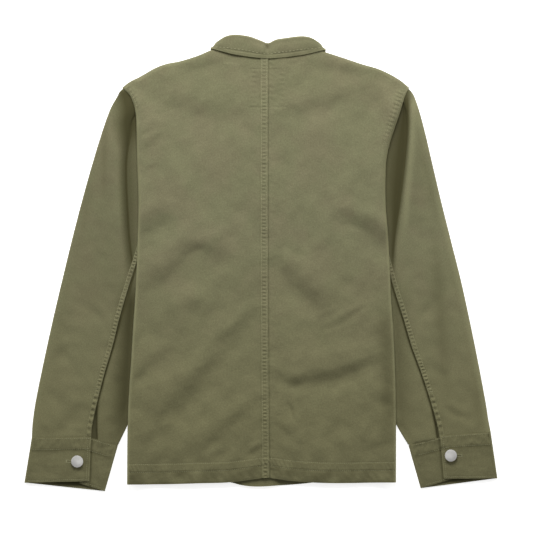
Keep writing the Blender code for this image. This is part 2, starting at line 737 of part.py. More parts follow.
def add_front_buttons(material):
    """They lie face down under the left front, sewn to the right one through its buttonholes."""
    for number, y in enumerate(FRONT_BUTTON_HEIGHTS, start=1):
        disc = bmesh.new()
        bmesh.ops.create_cone(disc, cap_ends=True, segments=24, radius1=FRONT_BUTTON_RADIUS * MM,
                              radius2=FRONT_BUTTON_RADIUS * 0.93 * MM, depth=FRONT_BUTTON_THICKNESS * MM)
        mesh = bpy.data.meshes.new(f"front_button_{number}")
        disc.to_mesh(mesh)
        disc.free()
        piece = place(f"front_button_{number}", mesh, material)
        piece.location = Vector((centre_front(y), y, FRONT_BUTTON_THICKNESS / 2)) * MM


def add_collar(material):
    sections = collar_sections()
    last = len(sections) - 1
    fronts = len(COLLAR_FRONT_SHARES)
    along = [step / 2 for step in range(2 * last + 1) if step % 2 == 0 or fronts < step / 2 < last - fronts]
    across = [0.0, 0.2, 0.4, 0.45, 0.5, 0.55, 0.6, 0.8, 1.0]
    add_cloth("collar", along, across, lambda a, c: collar_point(sections, a, c), DOUBLE_WALL, material,
              turned=True, offset=0.0)


def main():
    clear_scene()
    bpy.context.scene.collection.children.link(bpy.data.collections.new("painter jacket"))
    twill = make_material("olive cotton twill", TWILL, 0.9)
    metal = make_material("brushed white metal", METAL, 0.35, 1.0)
    for side in ("left", "right"):
        add_back(side, twill)
        add_front(side, twill)
        add_sleeve(side, twill)
        add_cuff(side, twill, metal)
    add_collar(twill)
    add_front_buttons(metal)


main()
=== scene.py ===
import math
from functools import partial

import bpy
import numpy as np
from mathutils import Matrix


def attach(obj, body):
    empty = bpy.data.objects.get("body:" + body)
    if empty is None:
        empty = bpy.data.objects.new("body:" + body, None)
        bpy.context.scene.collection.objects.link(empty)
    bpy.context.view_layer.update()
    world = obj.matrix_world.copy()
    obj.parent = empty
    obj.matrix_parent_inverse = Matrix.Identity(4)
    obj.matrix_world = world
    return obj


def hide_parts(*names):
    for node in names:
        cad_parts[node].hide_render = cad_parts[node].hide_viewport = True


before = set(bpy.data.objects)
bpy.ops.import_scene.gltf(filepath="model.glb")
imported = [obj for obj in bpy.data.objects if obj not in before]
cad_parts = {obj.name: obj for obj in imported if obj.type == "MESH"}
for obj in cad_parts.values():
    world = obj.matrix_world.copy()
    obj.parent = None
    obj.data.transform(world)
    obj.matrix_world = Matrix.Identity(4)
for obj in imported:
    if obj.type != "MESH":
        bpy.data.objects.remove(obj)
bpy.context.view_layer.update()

# Looks of a garment-dyed cotton twill work jacket, laid flat with its back up.
# All sizes are in millimetres; x runs to the wearer's right, y to the collar, z up from the surface.
mm = 0.001
print("frame loaded,", len(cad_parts), "CAD pieces")


# Small helpers

def ease(share):
    share = np.clip(share, 0.0, 1.0)
    return share * share * (3 - 2 * share)


def mix(start, end, share):
    # from start to end as the share goes from 0 to 1
    return start + (end - start) * share


def between(start, end, share):
    # the place that far along from one place to another, in plan
    return [mix(start[k], end[k], share) for k in (0, 1)]


def bump(away, reach):
    # 1 at a place, fading to a third of that at its reach
    return np.exp(-(away / reach) ** 2)


def smoothRead(table, column, at, key=0):
    # a column of a table at any value of its key column, on a smooth curve through the rows
    rows = sorted(table, key=lambda row: row[key])
    keys = np.array([row[key] for row in rows], float)
    values = np.array([row[column] for row in rows], float)
    return smoothCurve(keys, values, at)


def smoothCurve(keys, values, at):
    slopes = np.gradient(values, keys)
    at = np.clip(at, keys[0], keys[-1])
    i = np.clip(np.searchsorted(keys, at) - 1, 0, len(keys) - 2)
    step = keys[i + 1] - keys[i]
    t = (at - keys[i]) / step
    first = (2 * t ** 3 - 3 * t ** 2 + 1) * values[i] + (t ** 3 - 2 * t ** 2 + t) * step * slopes[i]
    return first + (3 * t ** 2 - 2 * t ** 3) * values[i + 1] + (t ** 3 - t ** 2) * step * slopes[i + 1]


def waves(x, y, size, seed):
    # gentle unevenness about that size across, the same each run
    draw = np.random.default_rng(seed)
    total = 0.0
    for _ in range(10):
        angle, length = draw.uniform(0, math.pi), size * draw.uniform(0.75, 1.5)
        total += np.sin(math.tau * ((x * math.cos(angle) + y * math.sin(angle)) / length + draw.random()))
    return total / 2.2


def puckers(away, along, pitch, reach, seed):
    # short wrinkles across a row of stitches, uneven in spacing and depth
    wander = 0.9 * np.sin(along / pitch * 0.61 + seed) + 0.7 * np.sin(along / pitch * 0.23 + 2 * seed)
    depth = 0.75 + 0.25 * np.sin(along / pitch * 0.37 + 3 * seed)
    return np.sin(math.tau * along / pitch + wander) * depth * bump(away, reach)


def besideLine(x1, y1, x2, y2, reach, bend, x, y):
    # beside a fold's bowed line: its strength and its reach, both less at its ends, and how far left a place is
    length = math.hypot(x2 - x1, y2 - y1)
    ux, uy = (x2 - x1) / length, (y2 - y1) / length
    inside = np.clip(((x - x1) * ux + (y - y1) * uy) / length, 0, 1)
    strength = np.sin(math.pi * inside) ** 0.8
    return strength, reach * (0.55 + 0.45 * strength), (y - y1) * ux - (x - x1) * uy - bend * 4 * inside * (1 - inside)


def foldsAt(folds, x, y):
    # soft troughs and ridges, steeper on one flank by their lean
    total = np.zeros_like(x, float)
    for *line, height, reach, bend, lean in folds:
        strength, flank, away = besideLine(*line, reach, bend, x, y)
        total += height * strength * bump(away, flank * np.where(away > 0, lean, 1 / lean))
    return total


def dropsAt(drops, x, y):
    # where the cloth rolls over: a soft ridge to the left of each line, a trough to its right, a steep flank between
    total = np.zeros_like(x, float)
    for *line, height, reach, bend in drops:
        strength, flank, away = besideLine(*line, reach, bend, x, y)
        share = away / flank
        total += height / 2 * strength * share * np.exp(0.5 - share ** 2 / 2)
    return total


def softMax(first, second, blend=0.5):
    # the higher of two heights, eased where they cross
    return blend * np.logaddexp(first / blend, second / blend)


sides = ("left", "right")


def sideSign(side):
    return -1 if side == "left" else 1


# Camera, floor and light

photo = dict(across=852.8, centreX=8.96, centreY=-5.44, distance=6000.0, sensor=36.0)
studio = dict(
    world=0.105, floor="#FAFAF9", floorGlow=0.7, floorSize=9000.0, floorDrop=0.15,
    softboxes=(
        # x, y, z, width, depth, watts
        (-100, 1380, 1050, 900, 900, 29.5),
        (-1450, 400, 620, 900, 900, 6.8),
        (1450, 400, 620, 900, 900, 7.6),
        (0, -450, 2200, 1100, 500, 3.8),
    ),
)


def toLinear(hexColour):
    channels = [int(hexColour[i:i + 2], 16) / 255 for i in (1, 3, 5)]
    return tuple(c / 12.92 if c <= 0.04045 else ((c + 0.055) / 1.055) ** 2.4 for c in channels) + (1.0,)


def addNode(tree, kind, settings=None, values=None, links=None):
    # one node with its settings, socket values and the links that come into it
    node = tree.nodes.new(kind)
    for name, value in (settings or {}).items():
        setattr(node, name, value)
    for name, value in (values or {}).items():
        node.inputs[name].default_value = value
    for name, socket in (links or {}).items():
        tree.links.new(socket, node.inputs[name])
    return node


def addNoise(tree, place, size, detail, roughness=0.5):
    # a noise whose grains are about that many millimetres across
    return addNode(tree, "ShaderNodeTexNoise", None,
                   {"Scale": 1 / (size * mm), "Detail": detail, "Roughness": roughness}, {"Vector": place})


def addBlend(tree, first, second, factor):
    # between two colours, each a hex colour or another node's socket
    node = addNode(tree, "ShaderNodeMix", {"data_type": "RGBA"}, None, {"Factor": factor})
    for name, colour in (("A", first), ("B", second)):
        if isinstance(colour, str):
            node.inputs[name].default_value = toLinear(colour)
        else:
            tree.links.new(colour, node.inputs[name])
    return node.outputs[2]


def addReliefs(tree, shader, reliefs):
    # each texture's relief on that of the one before it: texture, strength, depth
    links = {}
    for texture, strength, depth in reliefs:
        node = addNode(tree, "ShaderNodeBump", None, {"Strength": strength, "Distance": depth * mm},
                       {"Height": texture.outputs["Fac"], **links})
        links = {"Normal": node.outputs["Normal"]}
    tree.links.new(links["Normal"], shader.inputs["Normal"])


def newMaterial(name, sockets):
    material = bpy.data.materials.new(name)
    material.use_nodes = True
    shader = material.node_tree.nodes["Principled BSDF"]
    for socket, value in sockets.items():
        shader.inputs[socket].default_value = value
    return material, material.node_tree, shader


def setUpStudio():
    camera = bpy.data.cameras.new("camera")
    camera.sensor_width = photo["sensor"]
    camera.lens = photo["sensor"] * photo["distance"] / photo["across"]
    camera.clip_end = 100
    eye = bpy.data.objects.new("camera", camera)
    eye.location = (photo["centreX"] * mm, photo["centreY"] * mm, photo["distance"] * mm)
    bpy.context.scene.collection.objects.link(eye)
    bpy.context.scene.camera = eye

    for x, y, z, width, depth, watts in studio["softboxes"]:
        lamp = bpy.data.lights.new("softbox", "AREA")
        lamp.shape = "RECTANGLE"
        lamp.size = width * mm
        lamp.size_y = depth * mm
        lamp.energy = watts
        box = bpy.data.objects.new("softbox", lamp)
        box.location = (x * mm, y * mm, z * mm)
        box.rotation_mode = "QUATERNION"
        box.rotation_quaternion = box.location.to_track_quat("Z", "Y")
        box.visible_camera = False
        bpy.context.scene.collection.objects.link(box)

    world = bpy.data.worlds.new("pale room")
    world.use_nodes = True
    world.node_tree.nodes["Background"].inputs["Color"].default_value = (1, 1, 1, 1)
    world.node_tree.nodes["Background"].inputs["Strength"].default_value = studio["world"]
    bpy.context.scene.world = world
    bpy.context.scene.view_settings.view_transform = "Standard"

    bpy.ops.object.select_all(action="DESELECT")
    bpy.ops.mesh.primitive_plane_add(size=studio["floorSize"] * mm, location=(0, 0, -studio["floorDrop"] * mm))
    floor = bpy.context.object
    floor.name = "floor"
    paper, _, _ = newMaterial("white paper sweep", {
        "Base Color": toLinear(studio["floor"]), "Roughness": 0.9,
        "Emission Color": (1, 1, 1, 1), "Emission Strength": studio["floorGlow"]})
    floor.data.materials.append(paper)


setUpStudio()
print("camera, floor and light")


# Materials

twillLook = dict(
    olive="#787759", khaki="#7A765A", low="#7A7756", pale="#989671", deep="#48452A",
    waleMm=1.3, yarnMm=0.7, mottleMm=60.0, cloudMm=22.0, slubMm=2.6, rubMm=6.0, waleTilt=63.0,
)
threadLook = dict(colour="#9A9873", fleckMm=1.5)
metalLook = dict(face="#E6E5E1", dull="#D2D0CB", brushMm=1.6, brushLength=14.0, hazeMm=3.0)


def makeTwill(name, shade=1.0):
    # Cotton twill, piece-woven then garment-dyed: matt, with fine diagonal wales, slubby yarns and cloudy dye.
    look = twillLook
    material, tree, shader = newMaterial(name, {
        "Roughness": 0.88, "IOR": 1.45, "Specular IOR Level": 0.25,
        "Sheen Weight": 0.16, "Sheen Roughness": 0.5, "Sheen Tint": toLinear(look["pale"])})
    uv = addNode(tree, "ShaderNodeUVMap", {"uv_map": "cloth"}).outputs["UV"]
    place = addNode(tree, "ShaderNodeTexCoord").outputs["Object"]
    tone = addNode(tree, "ShaderNodeAttribute", {"attribute_name": "tone"}).outputs["Fac"]
    turned = addNode(tree, "ShaderNodeMapping", None,
                     {"Rotation": (0, 0, math.radians(look["waleTilt"]))}, {"Vector": uv}).outputs["Vector"]
    mottle = addNoise(tree, place, look["mottleMm"], 3.0, 0.55)
    cloud = addNoise(tree, place, look["cloudMm"], 3.0, 0.6)
    slub = addNoise(tree, uv, look["slubMm"], 2.0, 0.6)
    yarn = addNoise(tree, turned, look["yarnMm"], 1.0)
    rub = addNoise(tree, uv, look["rubMm"], 2.0)
    # the wave's own period is a twentieth of a turn; real wales are 0.6 mm apart, drawn twice as coarse to show
    wale = addNode(tree, "ShaderNodeTexWave", {"bands_direction": "X"},
                   {"Scale": math.tau / 20 / (look["waleMm"] * mm), "Distortion": 1.2, "Detail": 1.0,
                    "Detail Scale": 1.5}, {"Vector": turned})

    hue = addNode(tree, "ShaderNodeMapRange", {"interpolation_type": "SMOOTHSTEP"},
                  {"From Min": 0.38, "From Max": 0.66}, {"Value": mottle.outputs["Fac"]})
    colouring = addBlend(tree, look["olive"], look["khaki"], hue.outputs["Result"])
    # a little yellower towards the hem
    towardsNeck = addNode(tree, "ShaderNodeSeparateXYZ", None, None, {"Vector": place}).outputs["Y"]
    lower = addNode(tree, "ShaderNodeMapRange", None, {"From Min": 0.05, "From Max": -0.25}, {"Value": towardsNeck})
    colouring = addBlend(tree, colouring, look["low"], lower.outputs["Result"])
    # cloudy dye, slubs, wales and yarns each lighten or darken it a little
    level = shade
    for texture, amount in ((cloud, 0.12), (slub, 0.30), (wale, 0.14), (yarn, 0.26)):
        spread = addNode(tree, "ShaderNodeMapRange", None,
                         {"To Min": 1 - amount, "To Max": 1 + amount}, {"Value": texture.outputs["Fac"]})
        product = addNode(tree, "ShaderNodeMath", {"operation": "MULTIPLY"}, None, {0: spread.outputs["Result"]})
        if isinstance(level, float):
            product.inputs[1].default_value = level
        else:
            tree.links.new(level, product.inputs[1])
        level = product.outputs["Value"]
    shaded = addNode(tree, "ShaderNodeVectorMath", {"operation": "SCALE"}, None, {0: colouring, "Scale": level})
    # the tone attribute pales it for rubbed wear and painted highlights, and darkens it towards the deep colour for
    # painted shade
    paled = addBlend(tree, shaded.outputs["Vector"], look["pale"], tone)
    paintedShade = addNode(tree, "ShaderNodeMath", {"operation": "MULTIPLY"}, {1: -1.0}, {0: tone}).outputs["Value"]
    tree.links.new(addBlend(tree, paled, look["deep"], paintedShade), shader.inputs["Base Color"])
    addReliefs(tree, shader, ((rub, 0.35, 0.35), (wale, 0.5, 0.12), (yarn, 0.5, 0.08)))
    return material


def makeThread(name):
    # Spun polyester thread, dyed to tone: smoother than the cloth, so it catches a little more light.
    material, tree, shader = newMaterial(name, {"Roughness": 0.7})
    place = addNode(tree, "ShaderNodeTexCoord").outputs["Object"]
    fleck = addNoise(tree, place, threadLook["fleckMm"], 1.0).outputs["Fac"]
    tree.links.new(addBlend(tree, threadLook["colour"], twillLook["pale"], fleck), shader.inputs["Base Color"])
    return material


def makeButtonMetal(name):
    # Stamped zinc alloy with a satin nickel finish: pale grey, softly brushed, duller in its hollows.
    material, tree, shader = newMaterial(name, {"Metallic": 0.4, "Roughness": 0.38})
    place = addNode(tree, "ShaderNodeTexCoord").outputs["Object"]
    stretched = addNode(tree, "ShaderNodeMapping", None, {"Scale": (1.0, metalLook["brushLength"], 1.0)},
                        {"Vector": place}).outputs["Vector"]
    brush = addNoise(tree, stretched, metalLook["brushMm"], 3.0)
    haze = addNoise(tree, place, metalLook["hazeMm"], 3.0).outputs["Fac"]
    tree.links.new(addBlend(tree, metalLook["dull"], metalLook["face"], haze), shader.inputs["Base Color"])
    addReliefs(tree, shader, ((brush, 0.2, 0.03),))
    return material


twill = makeTwill("garment-dyed cotton twill")
# a darker copy of the twill for the cuffs: painted shade
shadedCuffTwill = makeTwill("garment-dyed cotton twill, painted_darker", 0.93)
thread = makeThread("tonal polyester thread")
metal = makeButtonMetal("satin nickel on zinc")
print("materials")


# The body in plan

cloth = dict(wall=1.0, doubleWall=1.8, band=0.8, seamGap=0.3, restGap=0.35)

bodySides = (
    # y, left x, right x
    (280.5, -221.5, 237),
    (270, -211, 232),
    (254, -203.5, 226.5),
    (236, -200, 221),
    (211, -199, 212.5),
    (188, -198.5, 205.5),
    (165, -198, 201),
    (137, -197, 199.5),
    (88, -196, 200),
    (49, -197, 203),
    (-2, -198.5, 206),
    (-53, -201, 208),
    (-105, -204.5, 211.5),
    (-156, -207.5, 214),
    (-207, -211, 215.5),
    (-258, -213, 216),
    (-354, -214, 216),
)
bodyTop = (
    # x, y: shoulder lines with the back neck seam between them
    (-221.5, 280.5),
    (-215, 286),
    (-191, 299.5),
    (-167, 313),
    (-157, 317),
    (-127, 323.5),
    (-95, 334),
    (-81, 340),
    (-68, 342.5),
    (-40, 337.5),
    (12, 334),
    (60, 336.5),
    (91, 340.5),
    (104, 337),
    (129, 329),
    (161, 318.5),
    (193, 308.5),
    (225, 290.5),
    (237, 280.5),
)
backHem = (
    # x, y
    (-214, -354),
    (-148, -353.5),
    (-100, -352),
    (-52, -350.5),
    (-25, -347.5),
    (9, -343.5),
    (47, -348),
    (79, -350.5),
    (216, -350.5),
)
frontHem = (
    # x, y
    (-214, -353),
    (-97, -351),
    (-45, -351.5),
    (-34, -354.5),
    (-21, -356.5),
    (31, -355.5),
    (60, -353.5),
    (95, -350),
    (216, -350),
)
leftSleeve = (
    # outer x, outer y, inner x, inner y, share of the width at which the back seam runs
    (-222, 278, -105, 28, 0.50),
    (-226.5, 273, -106, 24, 0.51),
    (-230, 266, -108, 17, 0.52),
    (-241, 246, -113, 4, 0.54),
    (-253.5, 211, -117, -15, 0.56),
    (-268, 164, -124, -41, 0.57),
    (-286, 100, -132, -69, 0.57),
    (-302.5, 36, -141, -100, 0.56),
    (-318, -28, -153, -132, 0.56),
    (-333, -92, -165, -164, 0.57),
    (-347, -156, -181, -196, 0.58),
    (-360, -220, -201, -233, 0.61),
    (-365, -255, -216, -265, 0.64),
    (-366.5, -280, -229, -292, 0.69),
)
rightSleeve = (
    # outer x, outer y, inner x, inner y, share of the width at which the back seam runs
    (237.5, 278, 115, 28, 0.46),
    (241.5, 273, 116, 24, 0.49),
    (245.5, 266, 118, 17, 0.52),
    (252.5, 246, 123, 4, 0.56),
    (262, 211, 127, -15, 0.57),
    (273, 164, 134, -41, 0.58),
    (288, 100, 142, -69, 0.59),
    (304, 36, 151, -100, 0.59),
    (320, -28, 161, -132, 0.58),
    (334, -92, 174, -164, 0.58),
    (347, -156, 187, -196, 0.56),
    (359, -220, 203, -233, 0.55),
    (363.5, -249, 219, -263, 0.57),
    (367.5, -270, 235.6, -290.5, 0.62),
)
sleeveRows = {"left": leftSleeve, "right": rightSleeve}

neck = dict(centre=11.5, halfWidth=79.0, pointY=342.0, drop=78.0, scoop=2.4, leaf=34.0, standRun=9.0, stand=4.9)
opening = dict(neckX=5.0, hemX=-10.0, neckY=264.0, hemY=-353.0, run=620.0, halfWidth=21.0, ramp=20.0, lift=1.9)
centreSeam = dict(topX=11.3, hemX=13.4, topY=334.0, hemY=-350.0, run=680.0, bow=-1.4)
centreBand = dict(width=12.6, rise=0.95, firstRow=2.2, secondRow=9.6, pitch=5.85, past=0.5, grooves=(0.15, 0.25),
                  grooveReach=0.9, edge=1.6, inner=2.2, innerLeft=0.35)


def bodySide(side, y):
    return smoothRead(bodySides, 1 if side == "left" else 2, y)


def topLine(x):
    return smoothRead(bodyTop, 1, x)


def hemLine(x):
    return smoothRead(backHem, 1, x)


def centreBack(y):
    share = np.clip((y - centreSeam["hemY"]) / centreSeam["run"], 0, 1)
    return mix(centreSeam["hemX"], centreSeam["topX"], share) + centreSeam["bow"] * 4 * share * (1 - share)


def centreFront(y):
    return mix(opening["hemX"], opening["neckX"], (y - bodySides[-1][0]) / opening["run"])


def underarm(side):
    return sleeveRows[side][0][3]


def armholeLine(side, y):
    outerX, outerY, innerX, innerY, _ = sleeveRows[side][0]
    return mix(innerX, outerX, (y - innerY) / (outerY - innerY))


def pastSleeveEdge(side, y, x, armhole=False):
    # how far a place is past the sleeve's inner fold, outwards
    edge = np.interp(y, [row[3] for row in reversed(sleeveRows[side])],
                     [row[2] for row in reversed(sleeveRows[side])])
    if armhole:
        edge = np.where(y > underarm(side), armholeLine(side, y), edge)
    return (x - edge) * sideSign(side)


def frontNeck(x):
    across = np.minimum(abs(x - neck["centre"]) / neck["halfWidth"], 1.0)
    return neck["pointY"] - neck["drop"] * (1 - across ** neck["scoop"])


def pastNeck(x, y):
    # how far a place is outside the front neck's curve, below zero in the opening
    x, y = np.broadcast_arrays(np.asarray(x, float), np.asarray(y, float))
    shares = np.linspace(-1, 1, 49)
    placeX = neck["centre"] + neck["halfWidth"] * shares
    placeY = frontNeck(placeX)
    far = np.full(x.shape, 1e9)
    for px, py in zip(placeX, placeY):
        far = np.minimum(far, np.hypot(x - px, y - py))
    inside = (abs(x - neck["centre"]) < neck["halfWidth"]) & (y > frontNeck(x))
    return np.where(inside, -far, far)


# Heights of the layers

layers = dict(sleeve=4.3, back=5.9, backOverSleeve=8.2, backOverPlacket=0.45, loft=1.6, loftAtNeck=0.55,
              swell=5.0, lowSwell=2.2, seamTurn=1.2, hemTurn=0.6,
              edgeRound=6.0, rimTilt=0.5)


frontForm = dict(inSleeve=48, sleeveRun=30, aboveArm=20, armRun=30, pastLeaf=16, leafRun=22, stripIn=8, stripOut=5)


def frontHeight(side, x, y):
    # the lower, outer face of a front, which lies on the sleeve, on the collar's leaf and on the other front
    form = frontForm
    rise = ease((pastSleeveEdge(side, y, x) + form["inSleeve"]) / form["sleeveRun"])
    rise = rise * (1 - ease((y - underarm(side) - form["aboveArm"]) / form["armRun"]))
    overSleeve = (layers["sleeve"] + cloth["seamGap"]) * rise
    collarLift = cloth["doubleWall"] + cloth["seamGap"]
    overCollar = collarLift * (1 - ease((pastNeck(x, y) - neck["leaf"] - form["pastLeaf"]) / form["leafRun"]))
    lift = np.maximum(overSleeve, overCollar)
    fromCentre = x - centreFront(y)
    onStrip = ease((fromCentre + opening["halfWidth"] + form["stripIn"] + opening["ramp"]) / opening["ramp"])
    if side == "left":
        return np.maximum(lift, opening["lift"] * onStrip)
    offStrip = ease((fromCentre - opening["halfWidth"] - form["stripOut"]) / opening["ramp"])
    overLeft = frontHeight("left", x, y) + cloth["wall"] + cloth["seamGap"]
    return np.where(offStrip < 1, mix(overLeft, lift, offStrip), lift)


backFolds = (
    # x1, y1, x2, y2, height, reach, bend, lean
    (-200, 290, -120, 300, 1.2, 12, 6, 1),
    (186, 290, 210, 208, 2, 10, 5, 1.2),
    (170, 280, 178, 180, -1.4, 12, 4, 1),
    (135, 165, 130, 60, 1.4, 10, 0, 1.1),
    (158, 160, 156, 70, -1.4, 9, 0, 1),
    (-194, 207, -150, 232, 0.7, 7, 2, 1),
    (-40, 56, -110, 30, 0.9, 11, 0, 1),
    (24, -160, 196, -128, 1.8, 13, 0, 1.1),
    (42, -222, 54, -256, -2, 2.8, 1.5, 1),
    (-180, -236, -60, -130, 1.6, 15, 4, 1),
    (-15, -235, -80, -310, 1, 11, 0, 1),
    (-160, -40, -60, -70, 0.9, 16, 0, 1),
)
backDrops = (
    # x1, y1, x2, y2, height, reach, bend: each from its left end to its right end
    # slack across the shoulder blades, and under the collar
    (-196, 276, 10, 240, 3.5, 16, -10),
    (6, 228, 156, 270, 3.3, 14, 3),
    (70, 322, 170, 300, 2.2, 9, 2),
    (-120, 312, -44, 326, 1.5, 8, 2),
    (-60, 226, 70, 222, 1.4, 12, -6),
    # small creases inside the left armhole
    (-195, 174, -158, 207, 1.1, 7, 3),
    (-192, 203, -168, 230, 1, 6, 0),
    (-186, 150, -164, 160, 0.8, 5, 0),
    # both sides at the waist
    (-216, 38, -132, 94, 4.8, 17, -2),
    (-200, 18, -160, 40, 1.2, 7, 0),
    (-142, 30, -42, 2, 3.6, 19, 6),
    (-190, -46, -92, 40, 6.2, 20, -4),
    (-60, 96, -20, 84, 0.9, 8, 0),
    (126, 88, 226, 16, 8.4, 19, 3),
    (140, 112, 214, 84, 1.4, 9, 0),
    # right of the seam
    (24, 16, 108, -72, 8.6, 19, -6),
    (34, 34, 76, 12, 1.4, 7, 0),
    (96, -104, 166, -66, 2.2, 6, -3),
    (60, -70, 130, -84, 1.4, 9, 0),
    (120, -20, 206, -52, 1.4, 12, 0),
    # the crease that curves up to the right side, like a smile
    (12, -166, 66, -194, 2.8, 10, -3),
    (34, -192, 200, -148, 6.8, 15, -6),
    (22, -250, 66, -290, 2.4, 9, 0),
    (170, -206, 224, -230, 2.4, 11, 2),
    (90, -238, 150, -262, 1.6, 11, 0),
    (120, -296, 210, -284, 1.4, 11, 0),
    # long diagonals, left of the seam
    (-172, -272, -56, -148, 4.8, 17, 5),
    (-98, -180, 8, -66, 4.3, 15, 6),
    (-208, -186, -140, -130, 4.4, 13, 0),
    (-144, -320, 2, -204, 3.6, 13, -10),
    (-110, -160, -30, -88, 1.6, 9, 0),
    (-24, -306, 6, -288, 2.2, 5, 0),
    (-212, -290, -140, -262, 1.6, 10, 0),
    (-100, -318, -50, -296, 1.4, 7, 0),
    (-150, -84, -60, -52, 1.4, 14, 0),
)
hemBand = dict(upper=32.0, lower=19.5, rise=0.45, drawn=0.40, pitch=6.4, slack=0.30, slackPitch=13.0)
neckBox = dict(left=-16.6, right=39.4, top=309.8, bottom=249.0, margin=2, level=0.42, upright=0.14, drawn=0.3)


def backRelief(side, x, y):
    hem = hemBand
    relief = foldsAt(backFolds, x, y) + dropsAt(backDrops, x, y)
    # unevenness of three sizes, the middle one deeper towards the hem
    low = ease((-150 - y) / 120)
    relief += 0.55 * waves(x, y, 95, 11) + mix(0.26, 0.4, low) * waves(x, y, 38, 12) + 0.1 * waves(x, y, 15, 13)
    # short wrinkles drawn up along the centre seam
    fromSeam = abs(x - centreBack(y))
    relief += 0.10 * puckers(fromSeam - 4, y + 6 * np.sin(y / 31), 9.5, 9.0, 1.0 + sideSign(side))
    # the hem is doubled, with wrinkles between its two rows of stitches
    up = y - hemLine(x)
    relief += hem["rise"] * (1 - ease((up - hem["upper"] + 1) / 2.5))
    middle = (hem["upper"] + hem["lower"]) / 2
    relief += hem["drawn"] * puckers(up - middle, x + 0.5 * up, hem["pitch"], 6.0, 4.0)
    relief += hem["slack"] * puckers(up - 8, x + 0.7 * up, hem["slackPitch"], 8.0, 5.0)
    relief -= 0.40 * bump(up - hem["upper"], 1.3) + 0.45 * bump(up - hem["lower"], 1.4)
    # stitches that are sewn through from inside show behind the neck as a faint box
    box = neckBox
    tall = (y < box["top"] + box["margin"]) & (y > box["bottom"] - box["margin"])
    wide = (x > box["left"] - box["margin"]) & (x < box["right"] + box["margin"])
    for level in (box["top"], box["bottom"]):
        relief -= box["level"] * bump(y - level, 1.0) * wide
    for edge, inwards in ((box["left"], 1), (box["right"], -1)):
        relief -= box["upright"] * bump(x - edge, 1.0) * tall
        relief += box["drawn"] * puckers(x - edge - 5 * inwards, y + 0.1 * x, 7.6, 4.2, 6.0) * tall
    return relief


def backHeight(side, x, y):
    # the upper, outer face of the back away from its edges
    rise = ease((pastSleeveEdge(side, y, x, armhole=True) + 60) / 50)
    strip = 1 - ease((abs(x - centreFront(y)) - opening["halfWidth"]) / 30)
    height = mix(layers["back"] + layers["backOverPlacket"] * strip, layers["backOverSleeve"], rise)
    # it swells beside its edges, more above the waist, where it lies over the sleeve, than below
    fromSide = (bodySide(side, y) - x) * sideSign(side)
    lifted = layers["swell"] * bump(fromSide - 9, 20) * ease((y + 40) / 140) * (1 - ease((y - 255) / 32))
    lifted += layers["lowSwell"] * bump(fromSide - 7, 14) * (1 - ease((y + 20) / 60))
    loft = layers["loft"] * (1 - layers["loftAtNeck"] * ease((y - 280) / 30))
    height += loft + lifted + backRelief(side, x, y)
    onOverlap = abs(x - centreFront(y)) < opening["halfWidth"] + 10
    beneath = np.where(onOverlap, frontHeight("right", x, y), frontHeight(side, x, y)) + cloth["wall"]
    outOfNeck = pastNeck(x, y)
    beneath *= ease((outOfNeck + 4) / 4)
    overStand = neck["stand"] * ease((17 - abs(outOfNeck + 7)) / 9) * (1 - ease((y - neck["pointY"] + 24) / 8))
    return softMax(height, softMax(beneath, overStand) + cloth["wall"] + cloth["restGap"])


def rounded(distance, reach=layers["edgeRound"]):
    past = np.clip(1 - distance / reach, 0.0, 1.0)
    return np.sqrt(1 - past * past)


def bandHeight(form, height, fromSeam, wrinkles):
    # a felled band drawn up between its rows of stitches, thin along its edge and at the seam
    relief, foot = form["rise"] + wrinkles, 0.1
    for row, groove in zip(("firstRow", "secondRow"), form["grooves"]):
        relief -= groove * bump(fromSeam - form[row], form["grooveReach"])
    edge = rounded(form["width"] - form["past"] - fromSeam, form["edge"])
    inner = mix(form["innerLeft"], 1, rounded(fromSeam + form["past"], form["inner"]))
    return height + foot + (relief - foot) * edge * inner


def backRim(side, x, y, alongShoulder):
    # where the back's turned-down edge ends, just over what lies there
    gap = cloth["restGap"] + layers["rimTilt"]
    overSleeve = layers["sleeve"] + gap
    fromPoint = abs(x - bodyTop[0 if side == "left" else -1][0])
    frontHere = frontHeight(side, x, y) + cloth["wall"] + gap
    shoulder = mix(overSleeve, frontHere, ease((fromPoint - 12) / 14))
    frontAtSide = frontHeight(side, bodySide(side, y), y) + cloth["wall"] + gap
    flank = mix(frontAtSide, overSleeve, ease((y - underarm(side) + 60) / 50))
    return np.where(alongShoulder, shoulder, flank)


armholeBand = dict(lowest=185, highest=272, width=13.5, rise=0.9, drawn=0.7, pitch=7.2, leftLowest=240, leftPitch=9.0)


